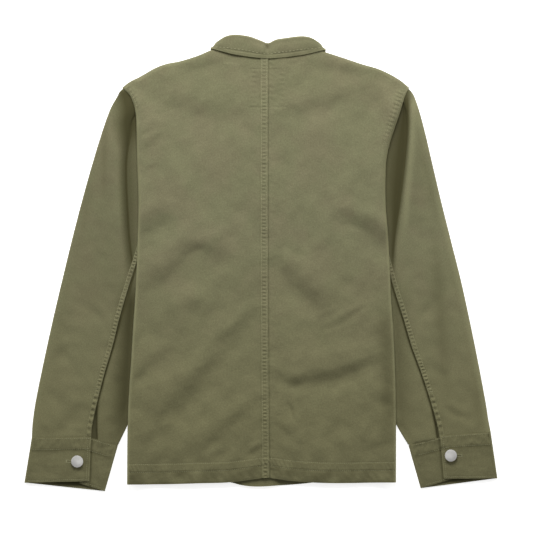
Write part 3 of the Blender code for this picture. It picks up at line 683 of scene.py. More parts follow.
def backPoint(side, across, down):
    # across runs from the side edge to the centre seam
    topSide, hemSide = bodySides[0][0], bodySides[-1][0]
    halfGap = cloth["seamGap"] / 2 * sideSign(side)
    sideY = mix(topSide, hemSide, down)
    topX = mix(bodySide(side, topSide), centreBack(centreSeam["topY"]) + halfGap, across)
    hemX = mix(bodySide(side, hemSide), centreBack(centreSeam["hemY"]) + halfGap, across)
    y = mix(topLine(topX), hemLine(hemX), down)
    edgeX = bodySide(side, sideY)
    x = mix(edgeX, centreBack(y) + halfGap, across)
    fromSide, fromTop = abs(x - edgeX), topLine(topX) - y
    pastNeckPoint = abs(topX - neck["centre"]) - neck["halfWidth"]
    share = rounded(fromSide) * mix(1, rounded(fromTop), ease(pastNeckPoint / 14))
    height = backHeight(side, x, y)
    fromSeam = abs(centreBack(y) - x)
    if side == "right":
        # it turns down into the seam
        height -= layers["seamTurn"] * bump(fromSeam, 1.3)
        height += 0.16 * puckers(fromSeam - 5, y + 0.3 * x, 9.0, 6.0, 3.0)
    # inside the right armhole a felled band shows with its creases, inside the left one only creases high up
    form = armholeBand
    if side == "right":
        band = ease((y - form["lowest"]) / 30) * (1 - ease((y - form["highest"]) / 8))
        height += form["rise"] * band * (1 - ease((fromSide - form["width"]) / 1.5))
        height += form["drawn"] * band * puckers(fromSide - 7.5, y + 0.4 * x, form["pitch"], 4.8, 7.0)
    else:
        high = ease((y - form["leftLowest"]) / 12)
        height += form["drawn"] * high * puckers(fromSide - 4, y - 0.8 * x, form["leftPitch"], 4.0, 8.5)
    height -= layers["hemTurn"] * bump(np.maximum(y - hemLine(hemX), 0), 2.0)
    rim = backRim(side, x, y, (pastNeckPoint > 0) & (fromTop < fromSide))
    return x, y, mix(np.minimum(rim, height - 0.5), height, share)


def frontSide(side, y):
    inwards = -sideSign(side)
    seam = bodySide(side, y) + cloth["seamGap"] * inwards
    low = mix(armholeLine(side, underarm(side)) + 0.6 * inwards, seam, np.clip((underarm(side) - y) / 80, 0, 1))
    return np.where(y > underarm(side), armholeLine(side, y) + 0.6 * inwards, low)


def frontEdge(side, y):
    return centreFront(y) - sideSign(side) * opening["halfWidth"]


def frontPoint(side, across, down):
    topSide = sleeveRows[side][0][1] + 0.5
    corner = armholeLine(side, topSide)
    sideY = mix(topSide, bodySides[-1][0], down)
    topX = mix(corner, frontEdge(side, opening["neckY"]), across)
    hemX = mix(bodySide(side, opening["hemY"]), frontEdge(side, opening["hemY"]), across)
    onShoulder = abs(topX - neck["centre"]) > neck["halfWidth"]
    topY = np.where(onShoulder, topLine(topX) - cloth["seamGap"], frontNeck(topX))
    y = mix(topY, smoothRead(frontHem, 1, hemX), down)
    x = mix(frontSide(side, sideY), frontEdge(side, y), across)
    return x, y, frontHeight(side, x, y)


# Sleeves

sleeveFolds = {
    "left": (
        # x1, y1, x2, y2, height, reach, bend, lean
        (-255, 205, -272, 60, -1.2, 12, 0, 1),
        (-236, 60, -262, -40, 1, 15, 0, 1),
        (-300, -60, -240, -110, -1.2, 9, 6, 1),
        (-330, -130, -290, -190, -1.1, 13, 0, 1),
        (-345, -200, -300, -262, -1.1, 11, 6, 1),
        (-240, -180, -236, -270, 0.7, 12, 0, 1),
        (-292, 20, -262, 40, -0.8, 10, 0, 1),
    ),
    "right": (
        # x1, y1, x2, y2, height, reach, bend, lean
        (256, 190, 268, 60, -1.2, 11, 0, 1),
        (250, 40, 268, -50, 1, 15, 0, 1),
        (300, -40, 250, -92, -1.2, 9, 0, 1),
        (318, -110, 300, -190, -1, 13, 0, 1),
        (345, -180, 318, -250, -1.1, 11, 0, 1),
        (240, -180, 244, -262, 0.7, 12, 0, 1),
    ),
}
sleeveRidges = {
    # beside the body each sleeve drops into a valley, then swells to a ridge
    "left": (
        # y, valley x, valley height, ridge x, ridge height
        (278, -216, 4, -240, 6),
        (262, -207, 3, -240, 9.5),
        (240, -204.5, 2.7, -240, 12),
        (211, -208, 2.6, -240, 12.5),
        (188, -212.5, 2.6, -233, 12.5),
        (165, -215, 2.6, -231, 12),
        (120, -215, 2.6, -230, 11.5),
        (80, -213, 2.6, -227, 10.5),
        (40, -210.5, 2.6, -225, 9.5),
        (0, -206, 2.6, -226, 9),
        (-40, -205, 2.6, -226, 8.5),
        (-120, -209, 2.6, -236, 8),
        (-220, -215, 2.6, -256, 7.5),
        (-310, -222, 2.9, -262, 5.6),
    ),
    "right": (
        # y, valley x, valley height, ridge x, ridge height
        (278, 235, 3.6, 243, 6.5),
        (265, 233.5, 2.7, 241, 10.5),
        (226, 232.5, 2.6, 240.5, 13.5),
        (185, 231.5, 2.6, 239.5, 13.5),
        (143, 227.5, 2.6, 236, 12.5),
        (92, 221, 2.6, 231, 11),
        (39, 213.5, 2.6, 227, 9.5),
        (-20, 210, 2.6, 226, 8.5),
        (-100, 215, 2.6, 238, 7.5),
        (-200, 219, 2.6, 256, 7),
        (-310, 224, 2.9, 262, 5.6),
    ),
}
sleeveDrops = {
    # x1, y1, x2, y2, height, reach, bend: each from its left end to its right end
    "left": (
        (-338, -274, -284, -222, 1.9, 12, 0),
        (-364, -252, -340, -267, 0.9, 6, 0),
        (-344, -150, -296, -128, 1.8, 9, 2),
    ),
    "right": (
        (262, -150, 300, -178, 1.6, 8, 0),
        (292, -226, 330, -246, 1.8, 7, 0),
        (300, -60, 336, -74, 1.4, 9, 0),
    ),
}
sleeveShadeStreaks = {
    # x1, y1, x2, y2, depth, reach, bend, lean: painted shade in long streaks down the sleeve
    "left": (
        (-250, 246, -251, 96, 0.20, 6, 0, 1),
        (-272, 200, -284, 40, 0.16, 10, 0, 1),
        (-312, -60, -330, -200, 0.10, 12, 0, 1),
    ),
    "right": (
        (256, 250, 285, 80, 0.20, 11, 0, 1),
        (276, 60, 298, -225, 0.28, 11, 0, 1),
        (340, -170, 350, -270, 0.16, 8, 0, 1),
    ),
}
sleeveForm = dict(
    frontSeam=0.86, settle=0.4, settleRun=26.0, edgeRise=0.2, edgeRun=22, lowestTop=2.6, lowest=2.2,
    cap=14.0, capReach=0.03, capRows=3, slitRows=2.1, tuck=0.12, under=3.0, underRows=0.2, underBow=0.2, bowRows=1.5,
    bow={"left": 10.0, "right": 5.5}, slit={"left": 9.0, "right": 2.4}, tucked={True: 4.4, False: 2.9},
    dip=(2.2, 2.0), dipReach=(2.2, 4.0), dipRows=2.9, beyondBand=0.2,
)
sleevePaintedLight = {
    # painted shade in the hollow beside the body, low down, beneath and up the arm; painted highlights on the ridge
    # and the outer fold
    "left": dict(strip=(0.3, 0.55), flank=15, low=0.72, under=0.12, upper=0.17, upperY=-170, upperRun=200,
                 ridge=0.05, fold=0.1),
    "right": dict(strip=(0.6, 1.0), flank=7, low=0.3, under=0.0, upper=0.13, upperY=30, upperRun=90,
                  ridge=0.36, fold=0.4),
}
sleeveBand = dict(first=5, width=8.4, rise=0.85, pitch=5.9, bars=10.4, firstRow=1.7, secondRow=7.2, past=0.3,
                  grooves=(0.2, 0.2), grooveReach=0.8, edge=1.5, inner=1.6, innerLeft=0.0)


def sleeveStation(side, place):
    index = np.arange(len(sleeveRows[side]), dtype=float)
    return [smoothCurve(index, np.array([row[k] for row in sleeveRows[side]]), place) for k in range(5)]


def sleeveValley(side, x, y):
    # how far a place is out past the body's edge, and how far out the valley and the ridge run there
    sign, edge = sideSign(side), bodySide(side, y)
    toValley = np.maximum((smoothRead(sleeveRidges[side], 1, y) - edge) * sign, 2.0)
    toRidge = np.maximum((smoothRead(sleeveRidges[side], 3, y) - edge) * sign, toValley + 8.0)
    return (x - edge) * sign, toValley, toRidge


def sleeveTop(side, x, y, fromOuter):
    # the upper face: low under the body, a valley beside it, a ridge, then softly full to the outer fold
    form = sleeveForm
    past, toValley, toRidge = sleeveValley(side, x, y)
    valley, ridge = (smoothRead(sleeveRidges[side], k, y) for k in (2, 4))
    falling = mix(layers["sleeve"], valley, ease((past + 3) / (toValley + 3)))
    rising = mix(valley, ridge, np.sin(math.pi / 2 * np.clip((past - toValley) / (toRidge - toValley), 0, 1)))
    settled = mix(ridge, mix(ridge, layers["sleeve"], form["settle"]), ease((past - toRidge) / form["settleRun"]))
    height = np.where(past < toValley, falling, np.where(past < toRidge, rising, settled))
    edge = mix(layers["sleeve"], ridge, form["edgeRise"])
    height = np.minimum(height, mix(edge, ridge + 0.1, ease((fromOuter + 1) / form["edgeRun"])))
    relief = foldsAt(sleeveFolds[side], x, y) + dropsAt(sleeveDrops[side], x, y)
    relief += 0.30 * waves(x, y, 70, 21) + 0.15 * waves(x, y, 24, 22)
    relief *= ease((past - toValley - 2) / 14) * ease((fromOuter + 2) / form["edgeRun"])
    return np.maximum(height + relief, form["lowestTop"])


def sleevePoint(side, along, place):
    # along runs over three stretches: 0 to 1 the seam to the fold, 1 to 2 round it, 2 to 3 underneath.
    # The top sleeve has the outer fold and the undersleeve the inner one; place says which by its sign.
    form = sleeveForm
    atOuter = place >= 0
    station = np.abs(place) if np.all(atOuter) else -place - 1
    outerX, outerY, innerX, innerY, seam = sleeveStation(side, station)
    width, last = np.hypot(outerX - innerX, outerY - innerY), len(sleeveRows[side]) - 1
    edgeShare = np.where(atOuter, 0.02, 0.98)
    edgeX, edgeY = mix(outerX, innerX, edgeShare), mix(outerY, innerY, edgeShare)
    fromOuter = width * edgeShare
    radius = sleeveTop(side, edgeX, edgeY, np.where(atOuter, fromOuter, 60.0)) / 2
    halfGap = cloth["seamGap"] / 2
    intoSlit = np.clip((station - last + form["slitRows"]) / form["slitRows"], 0, 1)
    slit = form["slit"][side] * np.sin(math.pi / 2 * intoSlit) * ~atOuter
    backSeam = width * np.where(atOuter, seam, 1 - seam) - halfGap - slit
    lowSeam = width * np.where(atOuter, form["frontSeam"], 1 - form["frontSeam"]) - halfGap
    angle = math.pi * np.clip(along - 1, 0, 1)
    fromEdge = np.where(along < 1, mix(backSeam, radius, along),
                        np.where(along > 2, mix(radius, lowSeam, along - 2), radius * (1 - np.sin(angle))))
    share = np.where(atOuter, fromEdge, width - fromEdge) / width
    x, y = mix(outerX, innerX, share), mix(outerY, innerY, share)
    onTop = sleeveTop(side, x, y, share * width)
    onTop += sleeveSeamRelief(side, backSeam - fromEdge, station, np.all(atOuter))
    tucked = ease((station - last + form["tuck"]) / form["tuck"])
    onTop = mix(onTop, np.minimum(onTop, form["tucked"][bool(np.all(atOuter))]), tucked)
    onTop = np.maximum(onTop, form["lowest"])
    height = np.where(along < 1, mix(onTop, 2 * radius, ease((along - 0.75) / 0.25)),
                      np.where(along > 2, 0.0, radius * (1 + np.cos(angle))))
    bow = form["bow"][side]
    rise = np.where(atOuter, bow * share / seam, form["underBow"] * bow * (1 - share) / (1 - seam))
    y += np.where(along < 1, rise * ease(1 - (last - station) / form["bowRows"]), 0.0)
    # the upper walls run on a little way under the cuff
    y -= form["under"] * ease(1 - (last - station) / form["underRows"]) * (along < 1)
    # the cap curves in under the armhole's edge, on the upper side alone
    cap = form["cap"] * (1 - np.exp(-share / form["capReach"])) * ease(1 - station / form["capRows"])
    cap *= 1 - ease((share - 0.3) / 0.3)
    cap *= ease((height / radius - 0.9) / 0.8) * (along < 1.5)
    return (x + cap * (innerY - outerY) / width * sideSign(side), y + cap * abs(innerX - outerX) / width, height)


def sleeveSeamRelief(side, fromSeam, station, isTop):
    # the undersleeve dips beneath the top sleeve's felled edge; the last stretch is the open slit
    form, last = sleeveForm, len(sleeveRows[side]) - 1
    slit = ease((station - (last - form["dipRows"])) / 0.5)
    if isTop:
        return -form["beyondBand"] * bump(fromSeam - sleeveBand["width"] - 0.6, 1.2)
    return -mix(*form["dip"], slit) * bump(fromSeam, mix(*form["dipReach"], slit))


def sleeveBandPoint(side, across, down):
    # the top sleeve's felled edge, drawn up between its two rows of stitches
    form = sleeveBand
    last = len(sleeveRows[side]) - 1
    station = mix(form["first"], last, down)
    outerX, outerY, innerX, innerY, seam = sleeveStation(side, station)
    fromSeam = form["width"] * across - form["past"]
    x, y, height = sleevePoint(side, fromSeam / (np.hypot(outerX - innerX, outerY - innerY) * seam), station)
    # short wrinkles, and longer bars beside the slit
    run = 0.26 * x * sideSign(side) - 0.97 * y
    fromMiddle = fromSeam - (form["firstRow"] + form["secondRow"]) / 2
    besideSlit = ease((station - (last - 2.4)) / 0.1)
    wrinkles = mix(0.7 * puckers(fromMiddle, run, form["pitch"], 2.6, 8.0),
                   1.0 * puckers(fromMiddle, run, form["bars"], 3.8, 8.0), besideSlit)
    return x, y, bandHeight(form, height, fromSeam, wrinkles)


# Cuffs

cuffs = {
    # corners of each cuff: the point on its seam, then the one on its free edge
    "left": dict(lap=((-271.5, -278.0), (-274.5, -348.5)), outer=((-366.5, -279.5), (-378.2, -351.0)),
                 inner=((-229.0, -292.5), (-249.5, -364.7)), under=((-284.0, -275.5), (-290.0, -352.5)),
                 button=(-293.5, -317.0)),
    "right": dict(lap=((286.5, -276.0), (292.5, -344.5)), outer=((367.5, -270.0), (378.2, -344.0)),
                  inner=((236.0, -291.5), (255.5, -360.0)), under=((300.0, -275.0), (306.0, -345.5)),
                  button=(303.5, -307.5)),
}
cuffForm = dict(lapHeight=6.8, foldHeight=5.6, underHeight=4.7, seamRow=19.0, pitch=7.8, depth=71.0,
                lapWidth=95, foldStart=0.97, drawn=0.6, allowance=0.55, tabRise=0.9, gape=2.4)
cuffGrooves = (
    # from the seam, depth, reach: at the seam, at the rows beyond it and at the edge
    (0, 0.4, 1.2),
    (cuffForm["seamRow"], 0.35, 1.6),
    (67.5, 0.3, 1.0),
    (cuffForm["depth"], 0.5, 2.0),
)


def cuffPoint(side, along, down):
    # along: 0 to 1 the buttoned lap, 1 to 2 the outer fold, 2 to 3 underneath, 3 to 4 the inner fold, 4 to 5 the tab
    form = cuffForm
    stretch = np.minimum(np.floor(along), 4)
    share, fromSeam = along - stretch, down * form["depth"]
    lap, outer, inner, under = (between(*cuffs[side][name], down) for name in ("lap", "outer", "inner", "under"))
    width = np.hypot(outer[0] - inner[0], outer[1] - inner[1])
    turn, outerR, innerR = math.pi * share, form["foldHeight"] / 2, form["underHeight"] / 2
    fromOuter = np.select(
        [stretch == 1, stretch == 2, stretch == 3],
        [outerR * (1 - np.sin(turn)) / width, mix(0.03, 0.97, share), 1 - innerR * (1 - np.sin(turn)) / width], 0.0)
    onFold, onLap = between(outer, inner, fromOuter), between(lap, outer, share * form["foldStart"])
    onTab = between(inner, under, mix(0.06, 1, share))
    x, y = (np.select([stretch == 0, stretch == 4], [onLap[k], onTab[k]], onFold[k]) for k in (0, 1))
    lapTop = mix(form["lapHeight"], form["foldHeight"], ease((share - 0.45) / 0.5))
    height = np.select(
        [stretch == 0, stretch == 1, stretch == 2, stretch == 3],
        [lapTop, outerR * (1 + np.cos(turn)), 0.0, innerR * (1 - np.cos(turn))],
        form["underHeight"] + form["tabRise"] * (1 - ease((fromSeam + 1) / 9)) * ease(share / 0.2))
    facesUp = (stretch == 0) | (stretch == 4)
    fromEnd = np.where(stretch == 0, share, 1 - share) * form["lapWidth"]
    relief = form["drawn"] * puckers(fromSeam - 10.0, x + 0.1 * fromSeam, form["pitch"], 7.0, 9.0)
    relief += 0.22 * waves(x, y, 12, 34) * bump(fromSeam - 10, 10.0)
    # past the seam's allowance it is thinner
    relief -= form["allowance"] * ease((fromSeam - form["seamRow"]) / 1.8)
    relief += 0.14 * waves(x, y, 26, 31) + 0.10 * waves(x, y, 11, 32)
    for place, depth, reach in cuffGrooves:
        relief -= depth * bump(fromSeam - place, reach)
    relief += 0.35 * waves(x, y, 42, 33) * ease(fromSeam / 20) * ease((66 - fromSeam) / 14)
    relief -= np.where(stretch == 0, 0.22 * bump(fromEnd - 3.4, 1.0) + 0.4 * bump(fromEnd, 1.2), 0.0)
    # the mouth gapes a little in the middle of the lap
    gape = form["gape"] * ease(down * 1.6 - 0.6) * np.sin(math.pi * np.clip(share, 0, 1)) * (stretch == 0)
    return x, y, height + np.where(facesUp, relief + gape, 0.0)


# Collar

collarBack = (
    # seam out, y, z, roll out, y left, y right, z, edge out, y, z, turn in degrees, half gap
    (0, 335.6, 5.8, 0, 350.6, 350.6, 11.5, 0, 327.4, 8.2, 6, 1.6),
    (14, 336.2, 5.8, 13, 355, 356.2, 13, 14, 328.2, 8.2, 8, 1.6),
    (30, 337.6, 5.8, 30, 361, 358.8, 14.5, 30, 330, 8.2, 10, 1.6),
    (52, 340.8, 5.8, 52, 364, 361.4, 14.5, 52, 333.5, 8.2, 14, 1.6),
    (66, 343.2, 5.6, 67, 361.5, 359.6, 13, 68, 337, 8.2, 24, 1.6),
    (76, 344.4, 5, 79, 354.5, 353, 9.5, 84.5, 341.6, 7.6, 50, 1.4),
    (78.2, 344.2, 3.7, 84, 349, 347.5, 5.6, 91, 342.6, 3.9, 95, 1.2),
    (75.6, 340.6, 3.3, 77.5, 346.5, 345.5, 2.1, 92, 342, 0.9, 172, 1.2),
)
collarForm = dict(rightDrop=2.0, frontShares=(0.92, 0.76, 0.56, 0.32, 0.05), fallWidth=21.0, row=6.6, pitch=5.9,
                  crown=1.1, groove=0.35, drawn=0.34, dip=10.0, crease=1.1, besideCrease=0.5)


def neckPlace(share):
    x = neck["centre"] + neck["halfWidth"] * share
    slope = neck["drop"] / neck["halfWidth"] * neck["scoop"] * abs(share) ** (neck["scoop"] - 1)
    away = np.array((math.copysign(slope, share), -1.0))
    return np.array((x, float(frontNeck(x)))), away / np.linalg.norm(away)


def collarSections():
    # a row for each section from the left end to the right end: seam, roll and edge points, signed turn, half gap
    halves = {}
    for side in sides:
        sign = sideSign(side)
        rows = []
        for row in collarBack:
            drop = 0 if side == "left" else collarForm["rightDrop"] * (row[0] / neck["halfWidth"]) ** 2
            seam = (neck["centre"] + sign * row[0], row[1] - drop, row[2])
            roll = (neck["centre"] + sign * row[3], row[4 if side == "left" else 5], row[6])
            edge = (neck["centre"] + sign * row[7], row[8] - drop, row[9])
            rows.append((*seam, *roll, *edge, sign * math.radians(row[10]), row[11]))
        for share in collarForm["frontShares"]:
            place, away = neckPlace(sign * share)
            lapped = float(ease((0.6 - share) / 0.4)) if side == "right" else 0.0
            stand = mix(3.3, neck["stand"] - cloth["doubleWall"] / 2, lapped)
            halfGap = (stand - cloth["doubleWall"] / 2) / 2
            seam = place - away * (1.4 + share)
            roll = place - away * neck["standRun"]
            edge = place + away * neck["leaf"] * float(ease(1.45 - share))
            rows.append((*seam, stand, *roll, cloth["doubleWall"] / 2 + halfGap, *edge, cloth["doubleWall"] / 2,
                         sign * math.pi, halfGap))
        halves[side] = rows
    return np.array(halves["left"][::-1] + halves["right"][1:], float)


collarTable = collarSections()
collarLast = len(collarTable) - 1


def collarPoint(along, across):
    # the middle of the collar's two layers; across runs from the neck seam over the roll to the free edge
    index = np.arange(collarLast + 1, dtype=float)
    columns = [np.where((along > 5.2) & (along < collarLast - 5.2), smoothCurve(index, collarTable[:, k], along),
                        np.interp(along, index, collarTable[:, k])) for k in range(11)]
    seam, roll, edge = (np.stack(columns[k:k + 3], -1) for k in (0, 3, 6))
    turn, gap = columns[9], columns[10][..., None]
    over = np.stack((np.sin(turn), 0 * turn, np.cos(turn)), -1)
    outwards = roll - (seam + edge) / 2
    outwards = outwards / np.linalg.norm(outwards, axis=-1, keepdims=True)
    over -= np.sum(over * outwards, -1, keepdims=True) * outwards
    over = over / np.linalg.norm(over, axis=-1, keepdims=True)
    centre = roll - outwards * gap
    share = across[..., None]
    stand = mix(seam, centre - over * gap, np.clip(share / 0.4, 0, 1))
    fall = mix(edge, centre + over * gap, np.clip((1 - share) / 0.4, 0, 1))
    angle = math.pi * (np.clip((share - 0.4) / 0.2, 0, 1) - 0.5)
    turned = centre + outwards * gap * np.cos(angle) + over * gap * np.sin(angle)
    point = np.where(share <= 0.4, stand, np.where(share >= 0.6, fall, turned))
    # the fall is slightly crowned and puckered along its stitches
    onFall = np.clip((across - 0.6) / 0.4, 0, 1)
    run = np.linalg.norm(edge - centre, axis=-1) * (1 - onFall)
    form, fromRow = collarForm, run - collarForm["row"]
    relief = form["crown"] * np.sin(math.pi * onFall) + 0.22 * waves(point[..., 0], point[..., 1], 22, 41)
    relief -= form["groove"] * bump(fromRow, 1.1) * (onFall > 0)
    relief += form["drawn"] * puckers(fromRow, point[..., 0], form["pitch"], 2.4, 10.0)
    # a small crease runs down from the dip in its roll
    fromDip = point[..., 0] - form["dip"]
    relief -= form["crease"] * bump(fromDip, 3.0) * ease((point[..., 1] - 334) / 8)
    relief += form["besideCrease"] * bump(fromDip + 10, 9.0)
    point += over * (relief * ease(onFall * 4) * np.clip(np.cos(turn), 0, 1))[..., None]
    return point[..., 0], point[..., 1], point[..., 2]


# Laying the cloth

def deselectAll():
    bpy.ops.object.select_all(action="DESELECT")


def applyModifier(piece, kind, **settings):
    bpy.context.view_layer.objects.active = piece
    modifier = piece.modifiers.new(kind.lower(), kind)
    for name, value in settings.items():
        setattr(modifier, name, value)
    bpy.ops.object.modifier_apply(modifier=modifier.name)


def layCloth(name, across, down, point, wall, material, flip=False, offset=-1.0, tone=None):
    # a grid moved onto the piece's outer face, with its threads' run as UVs, then given its wall
    deselectAll()
    across, down = np.array(across, float), np.array(down, float)
    bpy.ops.mesh.primitive_grid_add(x_subdivisions=len(across) - 1, y_subdivisions=len(down) - 1, size=1,
                                    calc_uvs=True)
    piece = bpy.context.object
    piece.name = piece.data.name = name
    mesh = piece.data
    flat = np.empty(len(mesh.vertices) * 3)
    mesh.vertices.foreach_get("co", flat)
    flat = flat.reshape(-1, 3)
    i = np.rint((flat[:, 0] + 0.5) * (len(across) - 1)).astype(int)
    j = np.rint((0.5 - flat[:, 1]) * (len(down) - 1)).astype(int)
    placed = np.stack(point(across[i], down[j]), -1)
    mesh.vertices.foreach_set("co", (placed * mm).ravel())

    gridOf = np.empty((len(across), len(down), 3))
    gridOf[i, j] = placed
    midRow, midColumn = gridOf[:, len(down) // 2], gridOf[len(across) // 2]
    runAcross = np.concatenate([[0], np.cumsum(np.linalg.norm(np.diff(midRow, axis=0), axis=1))])
    runDown = np.concatenate([[0], np.cumsum(np.linalg.norm(np.diff(midColumn, axis=0), axis=1))])
    corners = np.empty(len(mesh.loops), int)
    mesh.loops.foreach_get("vertex_index", corners)
    layer = mesh.uv_layers[0]
    layer.name = "cloth"
    uvs = np.stack((runAcross[i[corners]], -runDown[j[corners]]), -1) * mm
    layer.data.foreach_set("uv", uvs.ravel())

    shade = mesh.attributes.new("tone", "FLOAT", "POINT")
    levels = tone(across[i], down[j], *placed.T) if tone else np.zeros(len(i))
    shade.data.foreach_set("value", levels.astype(float))
    if flip:
        bpy.ops.object.mode_set(mode="EDIT")
        bpy.ops.mesh.select_all(action="SELECT")
        bpy.ops.mesh.flip_normals()
        bpy.ops.object.mode_set(mode="OBJECT")
    mesh.materials.append(material)
    applyModifier(piece, "SOLIDIFY", thickness=wall * mm, offset=offset)
    mesh.shade_smooth()
    mesh.set_sharp_from_angle(angle=math.radians(60))
    return piece


def finishPiece(piece, slot, *nodes):
    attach(piece, "root")
    if nodes:
        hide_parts(*nodes)


def evenly(start, *stretches):
    # places on from a start, or from a list of places, over stretches of an end and a count each
    places = list(start) if isinstance(start, list) else [start]
    for end, count in stretches:
        places += list(np.linspace(places[-1], end, count + 1))[1:]
    return places


def turnedEdge(width):
    return [layers["edgeRound"] * (1 - math.cos(math.radians(angle))) / width for angle in range(0, 91, 10)]


backPanel = dict(width=226.0, length=660.0)
# how much paler: rubbed wear at the hem and the seam, and a painted highlight over some wear along the side edge; then
# how much darker: painted shade along the hem's rows and band, in the right side's low valley, under the collar and
# towards the shoulders and the hem
backWearAndHighlight = dict(hem=0.16, seam=0.10, side=0.7)
backPaintedShade = dict(lowerRow=0.20, upperRow=0.10, hem=0.16, mottle=0.10, valley=0.4, underCollar=0.6, ends=0.08)


def layBack(side):
    # finer at the side, the seam, the shoulders and the hem, where the wrinkles are small
    across = evenly(turnedEdge(backPanel["width"]), (0.085, 10), (0.86, 74), (1.0, 20))
    down = evenly(turnedEdge(backPanel["length"]), (0.15, 76), (0.945, 205), (1.0, 32))
    if side == "right":
        across = across[::-1]

    def tone(a, d, x, y, z):
        up, fromEdge = y - hemLine(x), (bodySide(side, y) - x) * sideSign(side)
        lighter = backWearAndHighlight["hem"] * bump(up, 1.6) + backWearAndHighlight["seam"] * bump(abs(x - centreBack(y)), 1.0)
        # a painted highlight along the side's turned edge, over a little rubbed wear
        lighter += backWearAndHighlight["side"] * bump(fromEdge - 1.2, 2.4)
        # painted shade along the hem's two rows and, unevenly, over the hem band
        paintedShade = backPaintedShade["lowerRow"] * bump(up - hemBand["lower"], 1.2)
        paintedShade += backPaintedShade["upperRow"] * bump(up - hemBand["upper"] + 2, 1.2)
        hemShade = backPaintedShade["hem"] + backPaintedShade["mottle"] * waves(x, y, 26, 61)
        paintedShade += hemShade * (1 - ease((up - hemBand["lower"]) / 3))
        # painted shade in the low valley inside the right side
        if side == "right":
            low = ease((-60 - y) / 50) * (1 - ease((-y - 240) / 60))
            paintedShade += backPaintedShade["valley"] * bump(fromEdge - 12, 13) * low
        # painted shadow below the collar's edge
        collarEdge = collarBack[0][8] + 14 * ((x - neck["centre"]) / 84.5) ** 2
        paintedShade += backPaintedShade["underCollar"] * ease((y - collarEdge + 3.4) / 2.4)
        # painted shade towards the shoulders and towards the hem
        paintedShade += backPaintedShade["ends"] * (ease((y - 230) / 50) + ease((-y - 250) / 80))
        return lighter - paintedShade

    piece = layCloth("back_panel_" + side, across, down, partial(backPoint, side), cloth["wall"], twill, tone=tone)
    finishPiece(piece, "twill", "back_" + side)
    return piece


def layFront(side):
    across = evenly(0, (1, 50))
    if side == "right":
        across = across[::-1]
    piece = layCloth("front_panel_" + side, across, evenly(0, (1, 90)), partial(frontPoint, side), cloth["wall"],
                     twill, flip=True)
    finishPiece(piece, "twill", "front_" + side)
    return piece


def laySleeve(side):
    last = len(sleeveRows[side]) - 1
    places = np.array(evenly(0, (3, 60), (last, 170)))
    onLeft = side == "left"
    pieces = []
    for name, isTop, top, under in (("top_sleeve", True, 54, 10), ("undersleeve", False, 40, 4)):
        along = evenly(0, (0.06, 5), (1, top), (2, 10), (3, under))
        down = places if isTop else -places - 1

        def tone(a, d, x, y, z):
            # painted shade in the hollow beside the body, low down, beside the undersleeve's seam and up the arm;
            # painted highlights on the ridge and the outer fold; the lower wall, seen only in the slit, is painted
            # dark as shade
            colouring = sleevePaintedLight[side]
            past, toValley, toRidge = sleeveValley(side, x, y)
            high = ease((y - 170) / 60)
            # painted shade in the valley's crease, on the strip beside the body and on the ridge's inner flank
            crease = bump(past - toValley, mix(2.6, 6.5, high))
            strip = mix(mix(*colouring["strip"], ease(past / toValley)), 0.85, high * onLeft)
            reach = mix(colouring["flank"], 42, high * onLeft)
            flank = mix(0.7, 1.0, high) * (1 - ease((past - toValley) / reach))
            paintedShade = np.maximum(crease, np.where(past < toValley, strip, flank)) * ease((past + 4) / 4)
            paintedShade *= ease((y + 50) / 70) * (1 - 0.3 * ease((y - 270) / 10))
            # painted shade low down beside the body
            low = colouring["low"] * (1 - ease((past - 5) / 34)) * ease((-y - 10) / 60)
            low *= 1 - 0.5 * ease((-y - 225) / 50)
            # painted shade in long streaks and over the upper arm
            shadeStreaks = foldsAt(sleeveShadeStreaks[side], x, y) + colouring["upper"] * ease((y - colouring["upperY"]) / colouring["upperRun"])
            # painted highlight on the ridge
            lighter = colouring["ridge"] * bump(past - toRidge - 2, 5.0) * ease((y - 30) / 60) * ease((270 - y) / 20)
            if isTop:
                # painted highlight along the outer fold
                lighter += colouring["fold"] * ease((a - 0.9) / 0.1) * (a < 1.5)
            else:
                # painted shade over the undersleeve and beside its seam
                low += colouring["under"] + 1.2 * bump(a, 0.04)
            # painted shade on the lower wall inside the sleeve
            return np.where(z < 1.5, -0.7, (lighter - np.maximum(paintedShade, low) - shadeStreaks) * (a < 1.6))

        piece = layCloth(f"{name}_{side}_cloth", along, down, partial(sleevePoint, side), cloth["wall"], twill,
                         flip=isTop == onLeft, tone=tone)
        finishPiece(piece, "twill", f"{name}_{side}")
        pieces.append(piece)
    band = layCloth(f"sleeve_band_{side}", evenly(0, (1, 12)), evenly(0, (1, 560)), partial(sleeveBandPoint, side),
                    cloth["band"], twill, flip=onLeft)
    finishPiece(band, "twill")
    return pieces + [band]


# rubbed wear at the lap's edges; painted shade in the mouth, along the seam, over the lap and tab, beside the lap's
# edge and in the buttonhole
cuffWearAndShade = dict(paled=0.35, mouth=0.85, seam=0.3, top=0.08, underLap=0.55, hole=0.8)


